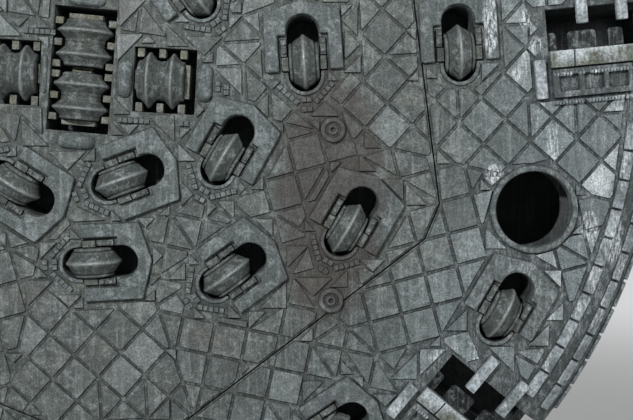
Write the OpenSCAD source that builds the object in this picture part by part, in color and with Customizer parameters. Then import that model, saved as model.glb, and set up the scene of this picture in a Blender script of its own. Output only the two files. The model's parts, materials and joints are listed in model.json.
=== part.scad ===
// Cutterhead of a hard-rock tunnel boring machine, 9.4 m bored diameter.
// Frame: +Z up, the face looks along -Y, the origin is the centre of the rear flange face.
// The modules work in the head's own frame, x right, y up and z out of the face,
// and stand() turns that frame into the part's.

/* [Head] */
// Diameter that the last gauge cutter bores
bored_dia = 9400; // [9000:10:9600]
// Front of the face plate, measured forward from the rear flange
face_z = 1850; // [1600:10:2100]
// Thickness of the face plate and of the rim
plate_t = 80; // [60:5:100]
// Depth from the face to the front of the bulkhead behind the cutter boxes
box_depth = 460; // [440:5:520]
// Front of the rear plate, measured from the rear flange
rear_z = 760; // [600:10:900]
// Distance from the centre to a side of the six-sided centre section
centre_apothem = 2610; // [2500:5:2700]
// Direction of the first side of the centre section, in degrees
centre_turn = 7.5; // [0:0.5:30]
// Gap at the joint between the centre section and the ring
seam = 10; // [6:1:16]

/* [Disc cutters] */
// Diameter of a 17-inch disc over its cutting edge
disc_dia = 432; // [400:1:483]
// How far a cutting edge stands out of the face
proud = 150; // [120:5:170]
// Radius of the innermost single cutter's track
track_first = 802; // [780:1:820]
// Distance between neighbouring tracks
track_pitch = 92; // [80:1:100]
// Radius of the curve that the gauge cutters follow from face to rim
gauge_r = 500; // [450:5:550]
// Angle of the last gauge cutter, away from the face
gauge_last = 68; // [60:1:72]
// Shaft of a disc cutter
shaft_dia = 92; // [80:1:100]
// Distance between the two rings of a twin cutter
twin_pitch = 183; // [170:1:190]

/* [Buckets] */
// Number of bucket openings round the rim
buckets = 8; // [6:1:12]
// Direction of the first bucket, in degrees
bucket_turn = 5.5; // [0:0.5:15]
// Width of a bucket opening
bucket_w = 320; // [280:5:360]
// How far a bucket opening reaches inward from the bored diameter
bucket_reach = 1100; // [1000:10:1150]

// Height of the wear pieces that stand on the face beside a bucket
lip_h = 55; // [40:5:70]
// Width of the scraper along a bucket's trailing edge
lip_w = 130; // [100:5:160]

/* [Wear plates] */
// Side of a square wear plate
tile = 228; // [200:1:260]
// Gap between wear plates
tile_gap = 27; // [20:1:40]
// Thickness of a wear plate
tile_t = 18; // [12:1:25]
// Smallest plate that is still fitted, as a share of a whole one
tile_least = 0.16; // [0.1:0.01:0.5]
// Strip that the wear plates leave free where the rim starts to curve
tile_edge = 56; // [20:1:100]

/* [Manhole] */
// How far the manhole's centre lies inward from the bored diameter
manhole_in = 1054; // [1000:1:1100]
// Direction of the manhole, in degrees
manhole_turn = -16.4; // [-20:0.1:-10]
// Clear diameter of the manhole
manhole_dia = 590; // [560:5:620]

/* [Rear mount] */
// Outer diameter of the flange
flange_dia = 5400; // [5000:10:5600]
// Inner diameter of the flange and the drum
throat_dia = 4300; // [4100:10:4400]
// Thickness of the flange
flange_t = 120; // [90:5:150]
// Distance from the flange's edge to the centres of its bolts
bolt_edge = 100; // [80:1:140]
// Number of bolts
bolts = 48; // [36:4:72]
// Diameter of a bolt hole
bolt_hole = 62; // [50:1:70]
// Hole in the bulkhead for the water line of the spray nozzles
line_hole = 200; // [150:5:260]

/* [Hidden] */
$fn = 64;
// Columns: direction of the arm in degrees, numbers of the tracks on it
ARMS = [
  [3.6, [10, 23]],
  [36.5, [3]],
  [33.8, [22, 30]],
  [60.4, [11, 27, 34]],
  [92.2, [8, 16, 25]],
  [123.8, [4, 13, 20, 29, 36]],
  [150.4, [15, 31]],
  [176, [6]],
  [184, [14, 21]],
  [210, [9]],
  [215.1, [18, 26, 33]],
  [237.3, [2, 19]],
  [272.8, [7, 24]],
  [290, [0.6]],
  [305.6, [12]],
  [304.2, [28, 35]],
  [330, [5, 17]],
  [330.4, [32]]
];
// Columns: direction in degrees, tilt as a share of the last gauge cutter's
GAUGE = [[285, 0.18], [262.2, 0.35], [37.6, 0.52], [208, 0.68], [71, 0.84], [251.8, 1]];
// Columns: direction of the shaft in degrees, radius of the cutter's middle
TWINS = [[84.8, 251], [264.8, 159], [-3.3, 614], [176.7, 524]];
// Columns: direction of a centre pocket, radius of its middle, its length along the shaft, its
// width, and how wide the bulges at its outer and its inner end are
POCKETS = [
  [84.8, 46, 957, 480, 124, 124],
  [-3.3, 645, 480, 500, 124, 124],
  [176.7, 555, 480, 500, 124, 48]
];

disc_r = disc_dia / 2;
axis_w = disc_r - proud;
gauge_c = bored_dia / 2 - gauge_r * sin(gauge_last);
body_curve = gauge_r - proud;
rim_r = gauge_c + body_curve;
rim_in = rim_r - plate_t;
bucket_r = bored_dia / 2 - bucket_reach;
manhole_r = bored_dia / 2 - manhole_in;
tile_reach = gauge_c - tile_edge;
seam_play = 16;
bolt_circle = flange_dia - 2 * bolt_edge;
bulk_z = face_z - box_depth;
bulk_t = 40;
rear_t = 60;
hub_half = 114;
hub_r = 154;
shaft_gap = 0.6;
slot_half = 125;
slot_back = -230;
slot_front = 357;
notch_half = 175;
notch_back = -70;
notch_front = 181;
box_half = 185;
box_back = -290;
box_front = 420;
flat_seat = 60;
deep_seat = 130;
deep_reach = 400;
twin_hub_half = 180;
twin_block = 20;
pocket_wall = 28;
corner_cut = 84;
centre_reach = centre_apothem / cos(30) - corner_cut;
guard_h = 50;
guard_half = 300;
guard_taper = 5;
guard_back = -70;
guard_side = 385;
guard_tip = 470;
guard_play = 5;
guard_notch = 20;
collar_w = 26;
collar_h = 18;
dome_len = 296;
chute_wall = 40;
deck_step = 400;
gussets = 24;
gusset_t = 40;
gusset_r = 3300;
lip_back = 700;
lip_cut = 190;
seat_gap = 0.3;
seat_z = face_z + seat_gap;
holder_w = 520;
holder_t = 45;
recess_step = 190;
bar_len = 190;
grate_w = 82;
grate_in = 230;
grate_step = 305;
stop_bar = 85;
stop_gap = 40;
fit_edge = 120;
block_h = 30;
block_play = 2;
shaft_block = [54, 105];
shaft_block_y = -13.5;
lock_block = [44, 132];
lock_block_y = 111;
end_play = 3;
end_half = [75, 130];
clamp_w = 54;
clamp_in = 175;
clamp_reach = 165;
drum_edge = 200;
drum_wall = 100;
gusset_foot = 60;
gusset_drop = 90;
weld_in = 5;
manhole_rim = 45;
manhole_play = 20;
nozzle_dia = 190;
nozzle_bore = 40;
drum_r = flange_dia / 2 - drum_edge;
// Directions of the joints between the segments of ring, rim and bulkhead, clear of the cutters
JOINTS = [18, 50.5, 81, 109, 140.5, 166, 198, 230.5, 245, 293, 320.5, 353.5];
// Half outline of a ring, from its edge to its foot. Columns: radius inside the edge's, half width
SINGLE_RING = [[0, 8], [8, 14], [20, 30], [32, 48], [42, 64], [52, 78], [62, 84]];
TWIN_RING = [[0, 7], [7, 12], [20, 19], [40, 28], [52, 35], [60, 46], [66, 50]];

// One row per single cutter: radius of the disc's middle, its z, direction, tilt
GAUGE_ROWS = [for (g = GAUGE)
  [gauge_c + (gauge_r - disc_r) * sin(gauge_last * g[1]),
   face_z - body_curve + (gauge_r - disc_r) * cos(gauge_last * g[1]),
   g[0], gauge_last * g[1]]];
// A face cutter is fitted where its housing clears the gauge cutters, the buckets and the curve
HOUSING = [[-box_half, box_back], [box_half, box_back], [guard_half, guard_back],
           [guard_half, guard_side], [60, guard_tip], [-60, guard_tip],
           [-guard_half, guard_side], [-guard_half, guard_back]];
TAKEN = concat(
  [for (row = GAUGE_ROWS) placed(box_zone(-60, 120, -200, 300), [row[0], 0], row[2])],
  [for (i = [0:buckets - 1])
    placed(box_zone(bucket_r + 60, bored_dia / 2, -bucket_w / 2, bucket_w / 2), [0, 0],
           bucket_turn + i * 360 / buckets)]
);
SINGLES = concat(
  [for (arm = ARMS) for (track = arm[1])
    let (r = track_first + track_pitch * track)
      if (r < gauge_c - fit_edge && clear_of(placed(HOUSING, [r, 0], arm[0]), TAKEN))
        [r, face_z - axis_w, arm[0], 0]],
  GAUGE_ROWS
);
single_names = [for (i = [1:len(SINGLES)]) str("cutter_", i < 10 ? "0" : "", i)];
twin_names = [for (i = [1:len(TWINS)]) str("twin_cutter_", i)];
NOZZLES = [[1942, -415], [1926, -1740]];
bar_w = 38;
bar_h = 24;
bar_step = 42;
bar_gap = 5;
bar_r = 196;

steel = [0.45, 0.47, 0.43];
worn = [0.55, 0.56, 0.53];
polished = [0.68, 0.68, 0.66];

module stand() {
  rotate([90, 0, 0]) children();
}

// Puts a shape drawn round a disc's middle in its place: x out, y along its travel, z out of the rock face
module at_single(row) {
  rotate([0, 0, row[2]])
    translate([row[0], 0, row[1]])
      rotate([0, row[3], 0])
        children();
}

module at_twin(row) {
  rotate([0, 0, row[0]])
    translate([row[1], 0, face_z - axis_w])
      children();
}

module slab(z0, z1) {
  translate([0, 0, z0]) linear_extrude(z1 - z0) children();
}

module span(x0, x1, y0, y1) {
  translate([x0, y0]) square([x1 - x0, y1 - y0]);
}

module stadium(half, back, front) {
  translate([-half, back + half]) square([2 * half, front - back - 2 * half]);
  translate([0, back + half]) circle(half);
  translate([0, front - half]) circle(half);
}

// A cutter near the rim has its housing set deeper, clear of the rim's curve
function deep(row) = row[0] + box_half > gauge_c;
function seat(row) = deep(row) ? deep_seat : flat_seat;

// Opening of a single cutter in the plate: the slot and the seats of the shaft's ends
module single_opening() {
  stadium(slot_half, slot_back, slot_front);
  span(-notch_half, notch_half, notch_back, notch_front);
}

module pocket(row, grow = 0) {
  rotate([0, 0, row[0]])
    translate([row[1], 0])
      square([row[2] + 2 * grow, row[3] + 2 * grow], center = true);
}

// Outline of the centre section: six sides with the corners cut back
module centre_outline(grow = 0) {
  intersection() {
    rotate([0, 0, centre_turn + 30]) circle(r = (centre_apothem + grow) / cos(30), $fn = 6);
    rotate([0, 0, centre_turn]) circle(r = (centre_reach + grow) / cos(30), $fn = 6);
  }
}

module at_manhole() {
  rotate([0, 0, manhole_turn]) translate([manhole_r, 0]) children();
}

module bucket_strips(r0, r1, half) {
  for (i = [0:buckets - 1])
    rotate([0, 0, bucket_turn + i * 360 / buckets]) span(r0, r1, -half, half);
}

// The part of a flat shape that lies in segment i of the ring
module segment(i) {
  start = JOINTS[i];
  end = i == len(JOINTS) - 1 ? JOINTS[0] + 360 : JOINTS[i + 1];
  middle = (start + end) / 2;
  reach = bored_dia / cos((end - start) / 2);
  intersection() {
    children();
    difference() {
      polygon([[0, 0], reach * ray(start), bored_dia * ray(middle), reach * ray(end)]);
      rotate([0, 0, start]) span(0, reach, -seat_gap, seat_gap);
    }
  }
}

// Flat shape of all that is cut out of the face
module face_openings() {
  for (row = SINGLES)
    if (!deep(row))
      rotate([0, 0, row[2]]) translate([row[0], 0]) single_opening();
  for (row = POCKETS) pocket(row);
}

module deep_openings() {
  for (row = SINGLES)
    if (deep(row))
      at_single(row) slab(-deep_seat - 60, 200) single_opening();
}

module centre_face() {
  color(steel) stand() slab(face_z - plate_t, face_z)
    difference() {
      centre_outline();
      face_openings();
    }
}

module ring_face() {
  color(steel) stand() difference() {
    for (i = [0:len(JOINTS) - 1])
      slab(face_z - plate_t, face_z)
        segment(i) difference() {
          circle(gauge_c);
          centre_outline(seam);
          face_openings();
          at_manhole() circle(d = manhole_dia);
          bucket_strips(bucket_r, bored_dia / 2, bucket_w / 2);
        }
    deep_openings();
  }
}

// Half section of the rim: the quarter round that carries on from the face, then the barrel
module rim_section() {
  translate([gauge_c, face_z - body_curve]) difference() {
    intersection() {
      circle(body_curve);
      square(body_curve);
    }
    circle(body_curve - plate_t);
  }
  span(rim_in, rim_r, rear_z, face_z - body_curve);
}

module gauge_rim() {
  color(steel) stand() difference() {
    rotate_extrude($fn = 360) rim_section();
    slab(face_z - deck_step * 2, face_z + 10) bucket_strips(bucket_r, bored_dia / 2, bucket_w / 2);
    deep_openings();
    for (a = JOINTS)
      slab(0, face_z + 10) rotate([0, 0, a]) span(gauge_c - 300, bored_dia / 2, -seat_gap, seat_gap);
  }
}

module bulkhead() {
  color(steel) stand() {
    slab(bulk_z - bulk_t, bulk_z) difference() {
      centre_outline();
      circle(d = line_hole);
    }
    for (i = [0:len(JOINTS) - 1])
      slab(bulk_z - bulk_t, bulk_z)
        segment(i) difference() {
          circle(rim_in);
          centre_outline(seat_gap);
          bucket_strips(bucket_r, bored_dia / 2, bucket_w / 2);
          at_manhole() circle(d = manhole_dia + 2 * manhole_play);
        }
  }
}

module chute_walls() {
  color(steel) stand() slab(rear_z + seat_gap, bulk_z - bulk_t - seat_gap)
    for (i = [0:buckets - 1], side = [-1, 1])
      rotate([0, 0, bucket_turn + i * 360 / buckets])
        translate([0, side * (bucket_w + chute_wall) / 2])
          span(throat_dia / 2, rim_in - 60, -chute_wall / 2, chute_wall / 2);
}

module rear_drum() {
  color(steel) stand() {
    slab(rear_z - rear_t, rear_z) difference() {
      circle(rim_r);
      circle(d = throat_dia);
    }
    slab(flange_t, rear_z - rear_t) difference() {
      circle(d = flange_dia - 2 * drum_edge);
      circle(d = flange_dia - 2 * drum_edge - 2 * drum_wall);
    }
    for (i = [0:gussets - 1])
      rotate([90, 0, (i + 0.25) * 360 / gussets]) translate([0, 0, -gusset_t / 2])
        linear_extrude(gusset_t)
          polygon([[drum_r - weld_in, flange_t + gusset_foot],
                   [drum_r + gusset_foot, flange_t + gusset_foot],
                   [gusset_r, rear_z - rear_t - gusset_drop], [gusset_r, rear_z - rear_t + weld_in],
                   [drum_r - weld_in, rear_z - rear_t + weld_in]]);
    slab(0, flange_t) difference() {
      circle(d = flange_dia);
      circle(d = throat_dia);
      for (i = [0:bolts - 1])
        rotate([0, 0, i * 360 / bolts]) translate([bolt_circle / 2, 0]) circle(d = bolt_hole);
    }
  }
}

module flat_box() {
  difference() {
    slab(-box_depth + axis_w + seat_gap, axis_w - plate_t - seat_gap) difference() {
      span(-box_half, box_half, box_back, box_front);
      stadium(slot_half, slot_back, slot_front);
    }
    slab(-flat_seat, axis_w) span(-notch_half, notch_half, notch_back, 42);
  }
}

module deep_box() {
  slab(-deep_reach, -deep_seat) difference() {
    span(-box_half, box_half, box_back, box_front);
    stadium(slot_half, slot_back, slot_front);
  }
}

module cutter_boxes() {
  color(steel) stand() {
    for (row = SINGLES)
      if (deep(row))
        difference() {
          at_single(row) deep_box();
          slab(0, bulk_z + seat_gap) circle(bored_dia);
        }
      else
        at_single(row) flat_box();
    for (row = POCKETS)
      slab(bulk_z + seat_gap, face_z - plate_t - seat_gap) difference() {
        pocket(row, pocket_wall);
        pocket(row);
      }
  }
}

// Shaft with its two end blocks, and the two locks beside them
module saddle(seat, lock_seat) {
  rotate([0, 90, 0]) cylinder(d = shaft_dia, h = 2 * hub_half + 20, center = true);
  for (side = [-1, 1]) {
    translate([side * (notch_half - block_play - shaft_block[0] / 2), shaft_block_y, 0])
      slab(-seat, axis_w + block_h) square(shaft_block, center = true);
    translate([side * (notch_half - block_play - lock_block[0] / 2), lock_block_y, 0])
      slab(-lock_seat, axis_w + block_h) square(lock_block, center = true);
  }
}

// Shaft of a twin cutter, its end blocks, and the clamps that reach in between the rings
module twin_saddle(half_w) {
  rotate([0, 90, 0]) cylinder(d = shaft_dia, h = 2 * twin_hub_half + 20, center = true);
  slab(-box_depth + axis_w, axis_w - twin_block) {
    span(-twin_hub_half - end_play - twin_block, -twin_hub_half - end_play,
         -end_half[0], end_half[0]);
    span(twin_hub_half + end_play, twin_hub_half + end_play + 2 * twin_block,
         -end_half[1], end_half[1]);
  }
  for (middle = clamp_reach * [-1, 0, 1], side = [0, 180])
    rotate([0, 0, side]) slab(-flat_seat, axis_w / 2)
      span(middle - clamp_w / 2, middle + clamp_w / 2, clamp_in, half_w);
}

module cutter_saddles() {
  color(worn) stand() {
    for (row = SINGLES)
      at_single(row) saddle(seat(row), deep(row) ? deep_seat : plate_t - axis_w);
    for (i = [0:len(TWINS) - 1])
      at_twin(TWINS[i]) twin_saddle(POCKETS[max(i - 1, 0)][3] / 2);
  }
}

// Horseshoe plate that guards a single cutter, with its arch to the front of the travel
module guard_outline() {
  difference() {
    polygon([[-guard_half, guard_back], [guard_taper - guard_half, guard_side], [0, guard_tip],
             [guard_half - guard_taper, guard_side], [guard_half, guard_back]]);
    stadium(slot_half + guard_play, slot_back, slot_front + guard_play);
    span(-notch_half - guard_notch, notch_half + guard_notch, guard_back - 1,
         notch_front + collar_w);
  }
}

// Raised edge round the back end of a slot
module slot_collar() {
  difference() {
    intersection() {
      stadium(slot_half + collar_w, slot_back - collar_w, slot_front);
      span(-guard_half, guard_half, slot_back - 2 * collar_w, guard_back - 8);
    }
    stadium(slot_half, slot_back, slot_front);
  }
}

// Bulge beside a pocket: half of a rod with round ends
module dome(w) {
  intersection() {
    translate([w / 2, 0, seat_z]) {
      for (side = [-1, 1]) translate([0, side * (dome_len - w) / 2, 0]) sphere(d = w);
      rotate([90, 0, 0]) cylinder(d = w, h = dome_len - w, center = true);
    }
    slab(seat_z, seat_z + w) span(0, w, -dome_len, dome_len);
  }
}

// Bar of hard blocks: a strip with sawn gaps, seen from its side
module segment_bar(count) {
  length = count * bar_step - bar_gap;
  rotate([90, 0, 0]) translate([-length / 2, seat_z, -bar_w / 2]) linear_extrude(bar_w)
    difference() {
      square([length, bar_h]);
      for (i = [1:count - 1]) translate([i * bar_step - bar_gap, bar_h / 2]) square([bar_gap, bar_h]);
    }
}

// Bars in a V round the back end of each slot of the centre section, two short ones in line
// behind it, and short ones beside the side pockets
module wear_bars() {
  for (row = SINGLES)
    if (row[0] < centre_apothem)
      rotate([0, 0, row[2]]) translate([row[0], 0, 0]) {
        for (side = [-1, 1])
          translate([0, slot_back + slot_half, 0])
            rotate([0, 0, side * 45]) translate([0, -bar_r, 0]) segment_bar(5);
        for (k = [0, 1]) translate([0, slot_back - 60 - 75 * k, 0]) segment_bar(2);
      }
  for (row = [POCKETS[1], POCKETS[2]])
    rotate([0, 0, row[0]]) translate([row[1], 0, 0]) {
      translate([-225, -row[3] / 2 - 70, 0]) segment_bar(6);
      translate([165, -row[3] / 2 - 70, 0]) segment_bar(2);
      if (row == POCKETS[1])
        for (spot = [[414, -20], [479, -44]])
          translate(spot) rotate([0, 0, 90]) segment_bar(2);
    }
}

module cutter_guards() {
  color(worn) stand() {
    for (row = SINGLES)
      if (!deep(row))
        at_single(row) translate([0, 0, axis_w + seat_gap]) {
          slab(0, guard_h) guard_outline();
          slab(0, collar_h) slot_collar();
        }
    for (row = POCKETS, end = [0, 1])
      rotate([0, 0, row[0]]) translate([row[1], 0, 0])
        rotate([0, 0, 180 * end]) translate([row[2] / 2 + 7, 0, 0]) dome(row[4 + end]);
    wear_bars();
  }
}

// Half section of the scraper: along the face, round the gauge curve and back over the rim
module scraper_section() {
  difference() {
    union() {
      span(bucket_r + 10, gauge_c, seat_z, face_z + lip_h);
      span(rim_r + seat_gap, rim_r + lip_h, face_z - lip_back, face_z - body_curve);
      translate([gauge_c, face_z - body_curve]) difference() {
        intersection() {
          circle(body_curve + lip_h);
          square(body_curve + lip_h);
        }
        circle(body_curve + seat_gap);
      }
    }
    span(bucket_r + lip_cut, bucket_r + lip_cut + 8, face_z + lip_h / 3, face_z + lip_h + 1);
  }
}

// Plate beside a scraper, with open recesses for the heads of its bolts
module holder() {
  slab(seat_z, face_z + holder_t) difference() {
    span(bucket_r + 10, gauge_c - 15, -holder_w, -bucket_w / 2 - lip_w - 15);
    for (x = [bucket_r + 60:recess_step:gauge_c - 150])
      translate([x, 0]) span(0, recess_step - 40, -holder_w + 45, -bucket_w / 2 - lip_w - 60);
  }
}

// Scrapers on the trailing edges of the buckets, and their holders
module bucket_lips() {
  color(worn) stand() {
    intersection() {
      rotate_extrude($fn = 360) scraper_section();
      for (i = [0:buckets - 1])
        rotate([0, 0, bucket_turn + i * 360 / buckets])
          slab(0, face_z + lip_h) span(bucket_r, bored_dia / 2, -bucket_w / 2 - 3 - lip_w, -bucket_w / 2 - 3);
    }
    for (i = [0:buckets - 1])
      rotate([0, 0, bucket_turn + i * 360 / buckets]) holder();
  }
}

// Bars that keep large lumps out of a bucket, and the bar in line with the scraper's inner end
module grizzly_bars() {
  color(worn) stand()
    for (i = [0:buckets - 1])
      rotate([0, 0, bucket_turn + i * 360 / buckets]) slab(seat_z, face_z + lip_h + 5) {
        span(bucket_r - stop_gap - stop_bar, bucket_r - stop_gap, -holder_w, -bucket_w / 2 - 60);
        for (k = [0, 1])
          translate([bucket_r + grate_in + k * grate_step, 0])
            span(0, grate_w, 30, bucket_w / 2 + bar_len);
      }
}

module manhole_ring() {
  color(worn) stand() slab(seat_z, face_z + 40) at_manhole() difference() {
    circle(d = manhole_dia + 2 * manhole_rim);
    circle(d = manhole_dia);
  }
}

module spray_nozzles() {
  color(worn) stand()
    for (spot = NOZZLES)
      translate([spot[0], spot[1], 0]) slab(seat_z, face_z + 35) difference() {
        circle(d = nozzle_dia);
        circle(d = nozzle_bore);
      }
}

function turned(p, a) = [p[0] * cos(a) - p[1] * sin(a), p[0] * sin(a) + p[1] * cos(a)];
function placed(pts, at, a) = [for (p = pts) turned(p, a) + turned(at, a)];
zone_half = guard_half + tile_gap;
guard_front = [[zone_half, guard_back - 63], [zone_half, guard_side + tile_gap],
               [0, guard_tip + tile_gap + 3], [-zone_half, guard_side + tile_gap],
               [-zone_half, guard_back - 63]];
guard_zone = concat([[-65, slot_back - 170], [65, slot_back - 170]], guard_front);
bare_zone = concat([[-110, slot_back - 55], [110, slot_back - 55]], guard_front);
function box_zone(x0, x1, y0, y1) = [[x0, y0], [x1, y0], [x1, y1], [x0, y1]];
// Outlines that the wear plates keep clear of, each as its middle, its reach and its corners,
// counter-clockwise
ZONES = concat(
  [for (row = SINGLES)
    [turned([row[0], 60], row[2]), 520,
     placed(row[0] < centre_apothem ? guard_zone : bare_zone, [row[0], 0], row[2])]],
  [for (row = POCKETS)
    [turned([row[1], 0], row[0]), 720,
     placed(box_zone(-row[2] / 2 - 150, row[2] / 2 + 150, -row[3] / 2 - 40, row[3] / 2 + 40),
            [row[1], 0], row[0])]],
  [for (row = [POCKETS[1], POCKETS[2]],
        side = [box_zone(-380, 235, -row[3] / 2 - 120, 0), box_zone(0, 545, -185, 0)])
    [turned([row[1], 0], row[0]), 720, placed(side, [row[1], 0], row[0])]],
  [for (i = [0:buckets - 1]) let (a = bucket_turn + i * 360 / buckets)
    [turned([(bucket_r + bored_dia / 2) / 2 - 100, -150], a), 900,
     placed(box_zone(bucket_r - 150, bored_dia / 2, -holder_w - 25, bucket_w / 2 + 30), [0, 0], a)]],
  [for (i = [0:buckets - 1]) let (a = bucket_turn + i * 360 / buckets, grate_r = bucket_r + grate_in)
    [turned([grate_r + 190, 230], a), 320,
     placed(box_zone(grate_r - 25, grate_r + grate_step + grate_w + 25, 100, bucket_w / 2 + bar_len + 25),
            [0, 0], a)]],
  [let (at = turned([manhole_r, 0], manhole_turn),
        far = manhole_dia / 2 + manhole_rim + tile_gap - 5)
    [at, far + 8, [for (k = [0:11]) at + far * ray(30 * k)]]],
  [for (spot = NOZZLES) let (far = nozzle_dia / 2 + tile_gap)
    [spot, far + 8, [for (k = [0:7]) spot + far * ray(45 * k)]]]
);

// The part of a convex outline on the near side of a line with normal n at distance d
function clip(pts, n, d) = len(pts) == 0 ? [] : [
  for (i = [0:len(pts) - 1])
    let (a = pts[i], b = pts[(i + 1) % len(pts)], da = n * a - d, db = n * b - d)
      each concat(da <= 0 ? [a] : [], da * db < 0 ? [a + (b - a) * da / (da - db)] : [])
];
function clip_all(pts, lines, i = 0) =
  i == len(lines) ? pts : clip_all(clip(pts, lines[i][0], lines[i][1]), lines, i + 1);
function area(pts) = len(pts) < 3 ? 0 :
  0.5 * sum([for (i = [0:len(pts) - 1])
    let (a = pts[i], b = pts[(i + 1) % len(pts)]) a[0] * b[1] - a[1] * b[0]]);
function sum(v, i = 0) = i >= len(v) ? 0 : v[i] + sum(v, i + 1);
function ray(a) = [cos(a), sin(a)];

// True where one edge of p has all of q beyond it
function beyond(p, q) = max([for (i = [0:len(p) - 1])
  let (a = p[i], b = p[(i + 1) % len(p)]) min([for (v = q) [b[1] - a[1], a[0] - b[0]] * (v - a)])]) >= 0;
function clear_of(p, zones) = len([for (z = zones) if (!beyond(p, z) && !beyond(z, p)) 1]) == 0;
function near(at) = [for (z = ZONES) if (norm(z[0] - at) < z[1] + tile) z[2]];

// Splits an outline along the side of a zone that leaves the most of it outside, and goes on with both
// parts, a gap between them, until they are clear of all zones or too small
function fill(pts, zones, depth) =
  area(pts) < tile_least * tile * tile ? [] :
  let (met = [for (z = zones) if (!beyond(pts, z) && !beyond(z, pts)) z])
  len(met) == 0 ? [pts] : depth == 0 ? [] :
  let (
    z = met[0],
    normals = [for (k = [0:len(z) - 1]) let (d = z[(k + 1) % len(z)] - z[k]) [-d[1], d[0]] / norm(d)],
    parts = [for (k = [0:len(z) - 1]) clip(pts, normals[k], normals[k] * z[k])],
    sizes = [for (part = parts) area(part)],
    best = max(sizes),
    k = [for (j = [0:len(z) - 1]) if (sizes[j] == best) j][0]
  )
  concat(fill(parts[k], met, depth - 1),
         fill(clip(pts, -normals[k], -normals[k] * z[k] - tile_gap), met, depth - 1));
function total(list) = sum([for (p = list) area(p)]);

// Plates of one cell: the whole square where it is clear, or else the better of an uncut
// filling and the fillings of its two halves along either diagonal
function pieces(cell, at, a, zones) =
  clear_of(cell, zones) ? [cell] :
  let (
    split = [for (k = [0, 1]) let (n = ray(a + 90 * k), d = n * at) concat(
      fill(clip(cell, n, d - tile_gap / 2), zones, 3),
      fill(clip(cell, -n, -d - tile_gap / 2), zones, 3))],
    whole = fill(cell, zones, 3),
    worth = [total(split[0]) * 1.3, total(split[1]) * 1.3, total(whole)]
  )
  worth[2] >= max(worth) ? whole : worth[0] >= worth[1] ? split[0] : split[1];

SECTORS = [3.6, 36.5, 62, 92.8, 125.6, 152, 181, 213, 240, 272.8, 303, 330, 363.6];
half_cell = tile / sqrt(2);
cell_step = (tile + tile_gap) * sqrt(2);

// Lines that bound a sector, and the two sides of the centre section's outline
function sector_lines(i) =
  let (lo = (i == 0 ? SECTORS[11] - 360 + SECTORS[0] : SECTORS[i - 1] + SECTORS[i]) / 2,
       hi = (SECTORS[i] + SECTORS[i + 1]) / 2)
    concat([[ray(lo - 90), -tile_gap / 2], [ray(hi + 90), -tile_gap / 2]],
           [for (k = [-1:1]) [ray(SECTORS[i] + 10 * k), tile_reach]]);
function side_at(k) = k % 2 == 0 ? centre_apothem : centre_reach;
centre_lines = [for (k = [0:11]) [ray(centre_turn + 30 * k), side_at(k) - seam_play]];
function outward(at) =
  let (inside = [for (k = [0:11]) ray(centre_turn + 30 * k) * at - side_at(k)],
       far = max(inside), k = [for (j = [0:11]) if (inside[j] == far) j][0])
    [-ray(centre_turn + 30 * k), -side_at(k) - seam - seam_play];

function sector_plates(i) =
  let (a = SECTORS[i], lines = sector_lines(i)) [
    for (u = [1:0.5:12], v = [-4:0.5:4])
      if ((2 * u + 2 * v) % 2 == 0)
        let (at = turned([u * cell_step, v * cell_step], a), r = norm(at))
          if (r > 500 && r < tile_reach + 150)
            let (diamond = [for (k = [0:3]) at + half_cell * ray(a + 90 * k)],
                 cell = clip_all(diamond, lines), zones = near(at))
              if (len(cell) > 2)
                for (part = [clip_all(cell, centre_lines), clip(cell, outward(at)[0], outward(at)[1])])
                  if (len(part) > 2)
                    for (p = pieces(part, at, a, zones))
                      if (area(p) > tile_least * tile * tile) p
  ];

module wear_plates() {
  color(worn) stand() slab(seat_z, face_z + tile_t)
    for (i = [0:11], p = sector_plates(i)) polygon(p);
}

// Section of a ring with its middle at a place on the shaft
module ring_profile(middle, half) {
  right = [for (p = half) [disc_r - p[0], p[1]]];
  left = [for (i = [len(half) - 1:-1:0]) [disc_r - half[i][0], -half[i][1]]];
  foot = shaft_dia / 2 + 40;
  translate([0, middle])
    polygon(concat(right, [[foot, right[len(right) - 1][1]], [foot, left[0][1]]], left));
}

// A disc cutter lies along its shaft: ring and hub turned as one, bored for the shaft
module disc_cutter(half, middles, ring) {
  rotate([0, 90, 0]) rotate_extrude() {
    difference() {
      polygon([[0, -half], [hub_r - 14, -half], [hub_r, -half + 14], [hub_r, half - 14],
               [hub_r - 14, half], [0, half]]);
      span(0, shaft_dia / 2 + shaft_gap, -half - 1, half + 1);
    }
    for (middle = middles) ring_profile(middle, ring);
  }
}

module single_cutter(i) {
  color(polished) stand() at_single(SINGLES[i]) disc_cutter(hub_half, [0], SINGLE_RING);
}

module twin_cutter(i) {
  color(polished) stand() at_twin(TWINS[i])
    disc_cutter(twin_hub_half, [-twin_pitch / 2, twin_pitch / 2], TWIN_RING);
}

centre_face();
ring_face();
gauge_rim();
bulkhead();
chute_walls();
rear_drum();
cutter_boxes();
cutter_saddles();
cutter_guards();
bucket_lips();
grizzly_bars();
manhole_ring();
spray_nozzles();
wear_plates();
for (i = [0:len(SINGLES) - 1])
  single_cutter(i);
for (i = [0:len(TWINS) - 1])
  twin_cutter(i);
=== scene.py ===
"""Looks of a hard-rock tunnel boring machine's cutterhead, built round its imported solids.

Lengths are in metres, in the frame of the solids: the face looks along -Y and Z is up.
"""

import json
import math
import random

import bmesh
import bpy
import numpy
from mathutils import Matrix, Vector
from mathutils.bvhtree import BVHTree


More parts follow.
